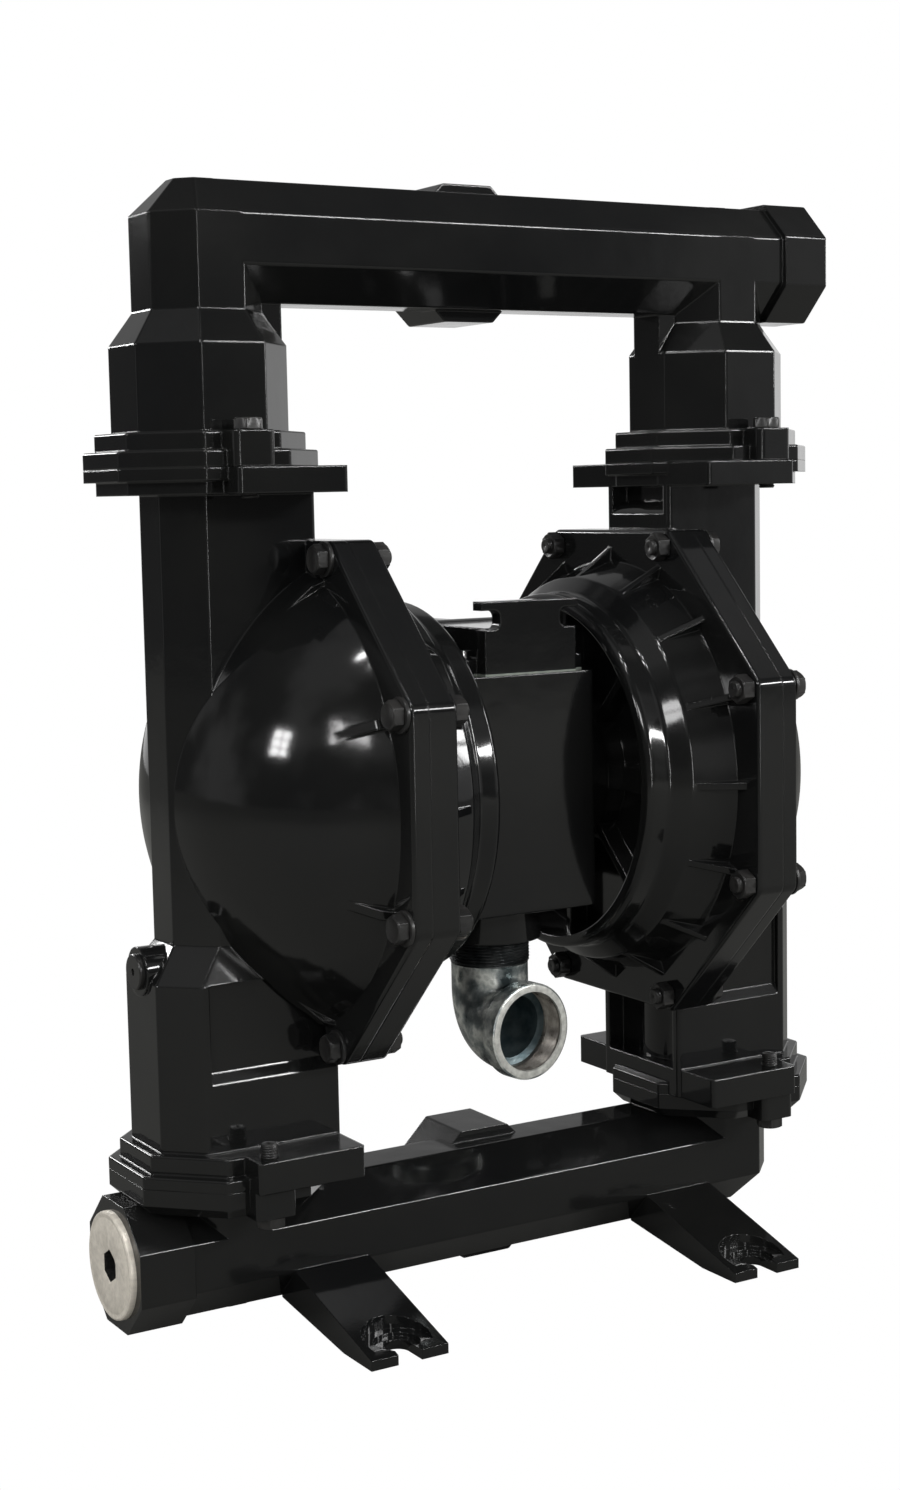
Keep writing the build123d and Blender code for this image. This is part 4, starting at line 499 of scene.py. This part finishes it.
def plain_round(radius, height, angle):
    """The profile's own radius at every angle."""
    return radius * np.ones_like(angle)


def hexagon(across_flats):
    """Radius of a hexagon: half its width over the cosine of the angle from the nearest flat's
    middle, never more than the profile's radius, which cuts the corners as a chamfer does."""
    def radius_of(radius, height, angle):
        from_flat = (angle + np.pi / 6) % (np.pi / 3) - np.pi / 6
        flat = across_flats / 2 / np.cos(from_flat)
        return np.minimum(flat * np.ones_like(height), radius * np.ones_like(angle))
    return radius_of


def thread(pitch, depth, begin, end):
    """Radius of a screw thread: the profile's radius less a saw-tooth that climbs one pitch in a
    turn, fading out beyond the thread's ends."""
    def radius_of(radius, height, angle):
        phase = (height / pitch - angle / (2 * np.pi)) % 1.0
        tooth = np.abs(2 * phase - 1)
        inside = np.clip((height - begin) / pitch, 0, 1) * np.clip((end - height) / pitch, 0, 1)
        return radius * np.ones_like(angle) - depth * (1 - tooth) * inside
    return radius_of


def lathe(name, profile, start, along, segments=48, radius_of=plain_round):
    """Turned mesh: the grid, with rows of no radius added at both ends where they lack one. That
    closes it, except where a thread's teeth reach the end row and leave a ring of them open."""
    profile = np.asarray(profile, float)
    if profile[0, 1] > 0:
        profile = np.vstack([(profile[0, 0], 0.0), profile])
    if profile[-1, 1] > 0:
        profile = np.vstack([profile, (profile[-1, 0], 0.0)])
    return grid_mesh(name, turned_points(profile, radius_of, start, along, segments))


widest = hexagon(2.0)(np.array([[9.0]]), np.array([[0.0]]), np.pi / 6).item()
print("a hexagon 2 wide across its flats reaches", round(widest, 4), "at its corners")

# %% [markdown]
# Several small forms often belong to one node, as eight bolts do. They are joined into a single
# mesh, the doubled points at the poles are merged, and gentle edges are shaded smooth.

# %% Joining forms
SAME_POLE = 2e-7


def joined(name, meshes, smooth_below=35.0):
    """One object from many meshes, in place, with poles merged and faces turned outward. A mesh
    that has a material keeps it. Edges flatter than smooth_below degrees are shaded smooth."""
    materials = []
    shape = bmesh.new()
    for mesh in meshes:
        start = len(shape.faces)
        shape.from_mesh(mesh)
        for material in mesh.materials:
            if material not in materials:
                materials.append(material)
            shape.faces.ensure_lookup_table()
            for face in shape.faces[start:]:
                face.material_index = materials.index(material)
        bpy.data.meshes.remove(mesh)
    bmesh.ops.remove_doubles(shape, verts=shape.verts, dist=SAME_POLE)
    bmesh.ops.recalc_face_normals(shape, faces=shape.faces)
    shade_smooth(shape, math.radians(smooth_below))
    mesh = bpy.data.meshes.new(name)
    shape.to_mesh(mesh)
    shape.free()
    for material in materials:
        mesh.materials.append(material)
    return put_in_scene(name, mesh)


def centre_and_size(node):
    """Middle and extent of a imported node's box."""
    low, high = (np.array(corner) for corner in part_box(node))
    return (low + high) / 2, high - low


print("shaft node size", np.round(centre_and_size("main_shaft")[1], 4))

# %% [markdown]
# ## Hexagon bolts
# A rolled bolt head has a chamfered top with a shallow crown, and its shank ends in a cone with a
# small centre mark. The head's hexagon is cut by a cone, which leaves the curved edges that every
# spanner user knows. The profile goes up the outside of the shank, over the head and to its middle.

# %% Bolt and nut forms
BOLT_R = 0.006
HEX_AF = 0.018
HEAD_T = 0.008
NUT_T = 0.010
THREAD_PITCH = 0.00175
THREAD_DEPTH = 0.0009
ROWS_PER_TURN = 6
HEX_HALF_ANGLE = math.pi / 6
CHAMFER_ANGLE = math.radians(30)
CHAMFER_SHARE = 0.93
HEX_SEGMENTS = 48
SHANK_SEGMENTS = 24
WASHER_SEGMENTS = 40
THREAD_END_CHAMFER = 0.001
CENTRE_MARK_R = 0.0016
WASHER_R = 0.012
WASHER_T = 0.0025
PUNCHED_RIM = 0.0005


def head_profile(bottom, thickness, radius):
    """Rows over a hexagon head: washer face, flats, 30 degree chamfer and a dished crown."""
    corner = radius / math.cos(HEX_HALF_ANGLE)
    drop = (corner - radius * CHAMFER_SHARE) * math.tan(CHAMFER_ANGLE)
    return [(bottom, radius * 0.6), (bottom, radius * 0.97), (bottom + 0.0004, radius * 0.985),
            (bottom + 0.0005, corner), (bottom + thickness - drop, corner),
            (bottom + thickness - drop * 0.4,
             radius * CHAMFER_SHARE + (corner - radius * CHAMFER_SHARE) * 0.4),
            (bottom + thickness, radius * 0.9), (bottom + thickness - 0.0005, radius * 0.78)]


def bolt_meshes(place, outward, length, bare_from):
    """Head above a seat at place, shank going the other way, thread from bare_from to its end."""
    head = lathe("head", head_profile(0.0, HEAD_T, HEX_AF / 2), place, outward,
                 HEX_SEGMENTS, hexagon(HEX_AF))
    inward = tuple(-v for v in outward)
    count = max(8, int((length - bare_from) / THREAD_PITCH * ROWS_PER_TURN))
    rows = np.linspace(bare_from, length - THREAD_END_CHAMFER, count)
    shank = [(-0.001, BOLT_R), (bare_from, BOLT_R)] + [(z, BOLT_R) for z in rows[1:]]
    shank += [(length, BOLT_R - THREAD_END_CHAMFER), (length, CENTRE_MARK_R),
              (length - 0.001, 0.0)]
    winding = thread(THREAD_PITCH, THREAD_DEPTH, bare_from, length)
    return [head, lathe("shank", shank, place, inward, SHANK_SEGMENTS, winding)]


def nut_mesh(place, outward):
    """Nut on a seat, with both ends chamfered; its bore is hidden by the bolt."""
    r = HEX_AF / 2
    corner = r / math.cos(HEX_HALF_ANGLE)
    drop = (corner - r) * math.tan(CHAMFER_ANGLE)
    rows = [(0.0, r * 0.95), (drop, corner), (NUT_T - drop, corner), (NUT_T, r * 0.97),
            (NUT_T - 0.0006, r * 0.72)]
    return lathe("nut", rows, place, outward, HEX_SEGMENTS, hexagon(HEX_AF))


def washer_mesh(place, outward):
    """Punched washer: one rim slightly rounded by the punch."""
    edge = PUNCHED_RIM
    rows = [(0.0, WASHER_R), (WASHER_T - edge, WASHER_R),
            (WASHER_T - edge * 0.3, WASHER_R - edge * 0.3), (WASHER_T, WASHER_R - edge)]
    return lathe("washer", rows, place, outward, WASHER_SEGMENTS)


print("bolt M%g, %g mm across flats" % (BOLT_R * 2000, HEX_AF * 1000))

# %% [markdown]
# The flange bolts stand near the octagon's corners, each with a washer under its head and a nut
# behind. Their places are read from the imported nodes' boxes, so they sit where the old ones did.

# %% Octagon bolts
RING_START = 22.5
RING_STEP = 45
FLANGE_THREAD = 0.02


def ring_places(radius, height):
    """Eight (y, z) places round the shaft: radius x cosine and height + radius x sine of angles
    that start at 22.5 degrees and step by 45."""
    angle = np.radians(RING_START + RING_STEP * np.arange(8))
    return [(radius * math.cos(a), height + radius * math.sin(a)) for a in angle]


washer_low, washer_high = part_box("right_flange_washers")
nut_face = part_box("right_flange_nuts")[1][0]
SHAFT_HEIGHT = centre_and_size("right_flange_bolts")[0][2]
BOLT_CIRCLE = (washer_high[1] - WASHER_R) / math.cos(math.radians(RING_START))
FLANGE_BOLT_L = washer_high[0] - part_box("right_flange_bolts")[0][0]
for side, label in ((-1, "left"), (1, "right")):
    outward = (side, 0, 0)
    bolts, nuts, washers = [], [], []
    for y, z in ring_places(BOLT_CIRCLE, SHAFT_HEIGHT):
        seat = (side * washer_high[0], y, z)
        bolts += bolt_meshes(seat, outward, FLANGE_BOLT_L, FLANGE_BOLT_L - FLANGE_THREAD)
        washers.append(washer_mesh((side * washer_low[0], y, z), outward))
        nuts.append(nut_mesh((side * nut_face, y, z), (-side, 0, 0)))
    for kind, meshes in (("bolts", bolts), ("nuts", nuts), ("washers", washers)):
        put_on(joined(f"{label}_octagon_{kind}", meshes), f"{label}_flange_{kind}",
               fastener_black)
print("bolt circle", round(BOLT_CIRCLE, 4), "m at height", round(SHAFT_HEIGHT, 4))

# %% [markdown]
# Each manifold is held by four bolts through its ears. The upper manifold's bolts stand head up,
# the lower one's head down.

# %% Joint bolts
JOINT_THREAD = 0.014


def joint_bolts(node, name, upward):
    """Four bolts of one manifold's joints: heads above (or below) the flange ears."""
    low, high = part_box(node)
    across_x = high[0] - HEX_AF / 2 / math.cos(HEX_HALF_ANGLE)
    across_y = high[1] - HEX_AF / 2
    seat = high[2] - HEAD_T if upward else low[2] + HEAD_T
    length = high[2] - low[2] - HEAD_T
    meshes = []
    for x in (-across_x, across_x):
        for y in (-across_y, across_y):
            meshes += bolt_meshes((x, y, seat), (0, 0, 1 if upward else -1), length,
                                  length - JOINT_THREAD)
    put_on(joined(name, meshes), node, fastener_black)
    return across_x, across_y


upper_places = joint_bolts("outlet_joint_bolts", "outlet_bolts", True)
lower_places = joint_bolts("inlet_joint_bolts", "inlet_bolts", False)
print("joint bolts at", upper_places, lower_places)

# %% [markdown]
# ## Plugs
# The end plugs are turned discs with a hexagon socket. The rim has a bright chamfer and the face
# keeps the fine circles of the lathe. The socket is a hexagonal well: the same grid, going down,
# with its inside painted near black as painted shade.

# %% Port plugs
PLUG_HEAD_T = 0.0045
PLUG_SOCKET_AF = 0.020
PLUG_SOCKET_DEPTH = 0.009
PLUG_SHANK_R = 0.036
PLUG_SHANK_L = 0.022
PLUG_RIM = 0.0016
PLUG_SEGMENTS = 96


def plug_meshes(face_x, side, height, radius):
    """Plug whose face lies at face_x: shank, head, rim chamfer, face and socket in one profile."""
    def turned(rows, radius_of=plain_round):
        return turned_points(rows, radius_of, (face_x, 0, height), (side, 0, 0), PLUG_SEGMENTS)

    shank_end = -PLUG_HEAD_T - PLUG_SHANK_L
    body = turned([(shank_end, PLUG_SHANK_R - 0.002), (shank_end + 0.002, PLUG_SHANK_R),
                   (-PLUG_HEAD_T, PLUG_SHANK_R), (-PLUG_HEAD_T, radius), (-PLUG_RIM, radius),
                   (-PLUG_RIM * 0.35, radius - PLUG_RIM * 0.3), (0.0, radius - PLUG_RIM),
                   (-0.0003, radius * 0.88), (0.0, radius * 0.86)])
    corner = PLUG_SOCKET_AF / 2 / math.cos(HEX_HALF_ANGLE)
    well = [(0.0, corner * 1.06), (-0.0006, corner), (-PLUG_SOCKET_DEPTH, corner)]
    hollow = turned(well, hexagon(PLUG_SOCKET_AF))
    hollow[0] = turned(well[:1])[0]
    bottom = turned([(-PLUG_SOCKET_DEPTH - 0.002, 0.0)])
    start = turned([(shank_end, 0.0)])
    plug = grid_mesh("plug", np.vstack([start, body, hollow[:2]]))
    plug.materials.append(plug_face)
    # The well's inside gets the near-black painted shade.
    socket = grid_mesh("socket", np.vstack([hollow[1:], bottom]))
    socket.materials.append(socket_painted_shade)
    return [plug, socket]


for node, side in (("inlet_port_plug", -1), ("outlet_port_plug", 1)):
    centre, size = centre_and_size(node)
    face_x = side * (abs(centre[0]) + size[0] / 2)
    skins = plug_meshes(face_x, side, centre[2], size[1] / 2)
    stand_for(joined(node + "_turned", skins, 25), node)
    print(node, "face at x", round(face_x, 4))

# %% [markdown]
# The drain plugs are small and painted over with the castings. One profile turns each: shank,
# head, chamfer and a shallow centre mark.

# %% Drain plugs
DRAIN_SEGMENTS = 48
DRAIN_ROWS = [(-0.0195, 0.0082), (-0.0035, 0.0082), (-0.0035, 0.0125), (-0.0008, 0.0125),
              (0.0, 0.0117), (0.0, 0.0026), (-0.003, 0.0022)]

for label, side in (("left", -1), ("right", 1)):
    centre, size = centre_and_size(label + "_drain_plug")
    face_x = side * (abs(centre[0]) + size[0] / 2)
    turned = lathe("drain", DRAIN_ROWS, (face_x, 0, centre[2]), (side, 0, 0),
                   DRAIN_SEGMENTS)
    put_on(joined(label + "_drain_turned", [turned]), label + "_drain_plug",
           fastener_black)
print("drain plugs at height", round(centre[2], 4))

# %% [markdown]
# ## The exhaust elbow
# A malleable-iron street elbow: a male thread going up into the pump, a bend, and a beaded female
# mouth. Its skin is a tube along a path, whose radius swells into the bead. The path is a straight
# line, a quarter circle and a straight line, worked out for the whole run at once.

# %% Elbow path
ELBOW_TURN = math.radians(7.0)
ELBOW_AXIS_Y = -0.014
ELBOW_HEIGHT = 0.185
ELBOW_TOP = 0.265
ELBOW_BEND_R = 0.029
ELBOW_REACH = 0.047
forward = np.array([math.sin(ELBOW_TURN), -math.cos(ELBOW_TURN), 0.0])
up = np.array([0.0, 0.0, 1.0])
corner = np.array([0.0, ELBOW_AXIS_Y, ELBOW_HEIGHT])


def elbow_path(distance):
    """Point and direction at a distance along the elbow from its top: down a line, round a quarter
    circle whose angle is distance over radius, then forward along a line."""
    drop = ELBOW_TOP - ELBOW_HEIGHT - ELBOW_BEND_R
    bend = np.clip((distance - drop) / ELBOW_BEND_R, 0, np.pi / 2)
    down = np.minimum(distance, drop)
    ahead = np.maximum(distance - drop - ELBOW_BEND_R * np.pi / 2, 0)
    height = ELBOW_TOP - down - ELBOW_BEND_R * np.sin(bend)
    reach = ELBOW_BEND_R * (1 - np.cos(bend)) + ahead
    point = corner + reach[:, None] * forward + (height - ELBOW_HEIGHT)[:, None] * up
    direction = np.sin(bend)[:, None] * forward - np.cos(bend)[:, None] * up
    return point, direction


def tube_along_elbow(rows, segments, radius_of=plain_round):
    """Grid of a tube: rows are (distance, radius); each ring lies square to the path."""
    rows = np.asarray(rows, float)
    point, direction = elbow_path(rows[:, 0])
    side = np.cross(forward, up)
    above = np.cross(side[None, :], direction)
    angle = np.linspace(0, 2 * np.pi, segments, endpoint=False)
    radius = radius_of(rows[:, 1:2], rows[:, :1] * np.ones_like(angle), angle)
    ring = np.cos(angle)[None, :, None] * side + np.sin(angle)[None, :, None] * above[:, None, :]
    return point[:, None, :] + radius[..., None] * ring


ELBOW_END = ((ELBOW_TOP - ELBOW_HEIGHT - ELBOW_BEND_R) + ELBOW_BEND_R * math.pi / 2
             + ELBOW_REACH - ELBOW_BEND_R)
print("elbow's middle line is", round(ELBOW_END, 4), "m long")

# %% [markdown]
# The thread at the top tapers out where the die stopped. The bead is a thick round collar, and the
# mouth inside it is tapped. Six skins make it up: the male thread, the rough outside, the top's
# lip, the rough inside, the cut face and the threaded bore. The rough inside is painted darker than
# the outside, as painted shade in the bore. The lip doesn't quite meet the first turn of the male
# thread, out of sight inside the boss.

# %% Elbow skins
AROUND = 96
PIPE_PITCH = 0.0023
MALE_DEPTH = 0.0016
MALE_END = 0.0345
FEMALE_DEPTH = 0.0011
SKIN_R = 0.0283
SWELL = 0.0042
BEAD = 0.0071
THREAD_CREST = 0.0013
MOUTH_R = 0.0286
MOUTH_RIM_R = 0.0292
MOUTH_CHAMFER = 0.0012
MOUTH_DEPTH = 0.020
CAST_BORE_R = 0.0235
CUT_CORNER = 0.0002


def smooth_step(value, low, high):
    """0 below low, 1 above high, and an S-curve between them."""
    t = np.clip((value - low) / (high - low), 0, 1)
    return t * t * (3 - 2 * t)


def outside_radius(run):
    """Radius along the outside: a plain pipe, plus a swell towards the mouth that ends behind the
    bead, plus the bead with its front edge turned in, plus the height of the thread's crests."""
    end = ELBOW_END
    swell = smooth_step(run, 0.05, end - 0.024)
    swell = swell * (1 - smooth_step(run, end - 0.016, end - 0.0135)) * SWELL
    bead = smooth_step(run, end - 0.0155, end - 0.0125) * BEAD
    bead = bead * (1 - 0.22 * smooth_step(run, end - 0.0016, end) ** 2)
    return SKIN_R + swell + bead + THREAD_CREST * (1 - smooth_step(run, 0.032, 0.0355))


def straight_rows(begin, end, count, radius):
    """Rows of one radius between two distances along the elbow."""
    return np.column_stack([np.linspace(begin, end, count), np.full(count, radius)])


run = np.concatenate([np.linspace(0, 0.036, 110), np.linspace(0.0365, ELBOW_END - CUT_CORNER, 96)])
outer = outside_radius(run)
male_thread = thread(PIPE_PITCH, MALE_DEPTH, -0.001, MALE_END)
skin = tube_along_elbow(np.column_stack([run, outer]), AROUND, male_thread)
threaded = int(np.searchsorted(run, MALE_END))
lip = tube_along_elbow([(0.0, CAST_BORE_R), (0.0, outer[0])], AROUND)
step_in = tube_along_elbow([(ELBOW_END - MOUTH_DEPTH, MOUTH_R)], AROUND)
inside = tube_along_elbow(straight_rows(ELBOW_END - 0.021, 0.0, 60, CAST_BORE_R), AROUND)
face = tube_along_elbow([(ELBOW_END - CUT_CORNER, outer[-1]), (ELBOW_END, outer[-1] - 0.0006),
                         (ELBOW_END, MOUTH_RIM_R), (ELBOW_END - MOUTH_CHAMFER, MOUTH_R)], AROUND)
bore_rows = straight_rows(ELBOW_END - MOUTH_CHAMFER, ELBOW_END - MOUTH_DEPTH, 90, MOUTH_R)
bore_thread = thread(PIPE_PITCH, -FEMALE_DEPTH, ELBOW_END - 0.0195, ELBOW_END - MOUTH_CHAMFER)
bore = tube_along_elbow(bore_rows, AROUND, bore_thread)

elbow_parts = []
for name, points, material in (
        ("skin", skin[threaded:], zinc), ("male", skin[:threaded + 1], thread_dark),
        ("lip", lip, zinc), ("inner", np.vstack([step_in, inside]), bore_zinc_painted_shade),
        ("face", face, cut_iron), ("bore", bore, thread_steel)):
    mesh = grid_mesh(name, points)
    mesh.materials.append(material)
    elbow_parts.append(mesh)
elbow = joined("exhaust_elbow_cast", elbow_parts, 40)
stand_for(elbow, "exhaust_elbow")
print(len(elbow.data.polygons), "faces on the elbow")

# %% [markdown]
# ## Finishes on what is left
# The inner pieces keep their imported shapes. Each still gets the finish of its slot, for whoever
# opens the pump.

# %% Inner pieces
for entry in frame["record"]["subparts"]:
    piece = nodes[entry["node"]]
    if entry["material_slot"] in FINISH_OF_SLOT and not piece.hide_render:
        piece.data.materials.clear()
        piece.data.materials.append(FINISH_OF_SLOT[entry["material_slot"]])
for node in ("left_valve_end_cap", "right_valve_end_cap"):
    put_on(merged_copy(node, node + "_painted"), node, gloss_black)
print(sum(not piece.hide_render for piece in nodes.values()), "packed pieces stay as they are")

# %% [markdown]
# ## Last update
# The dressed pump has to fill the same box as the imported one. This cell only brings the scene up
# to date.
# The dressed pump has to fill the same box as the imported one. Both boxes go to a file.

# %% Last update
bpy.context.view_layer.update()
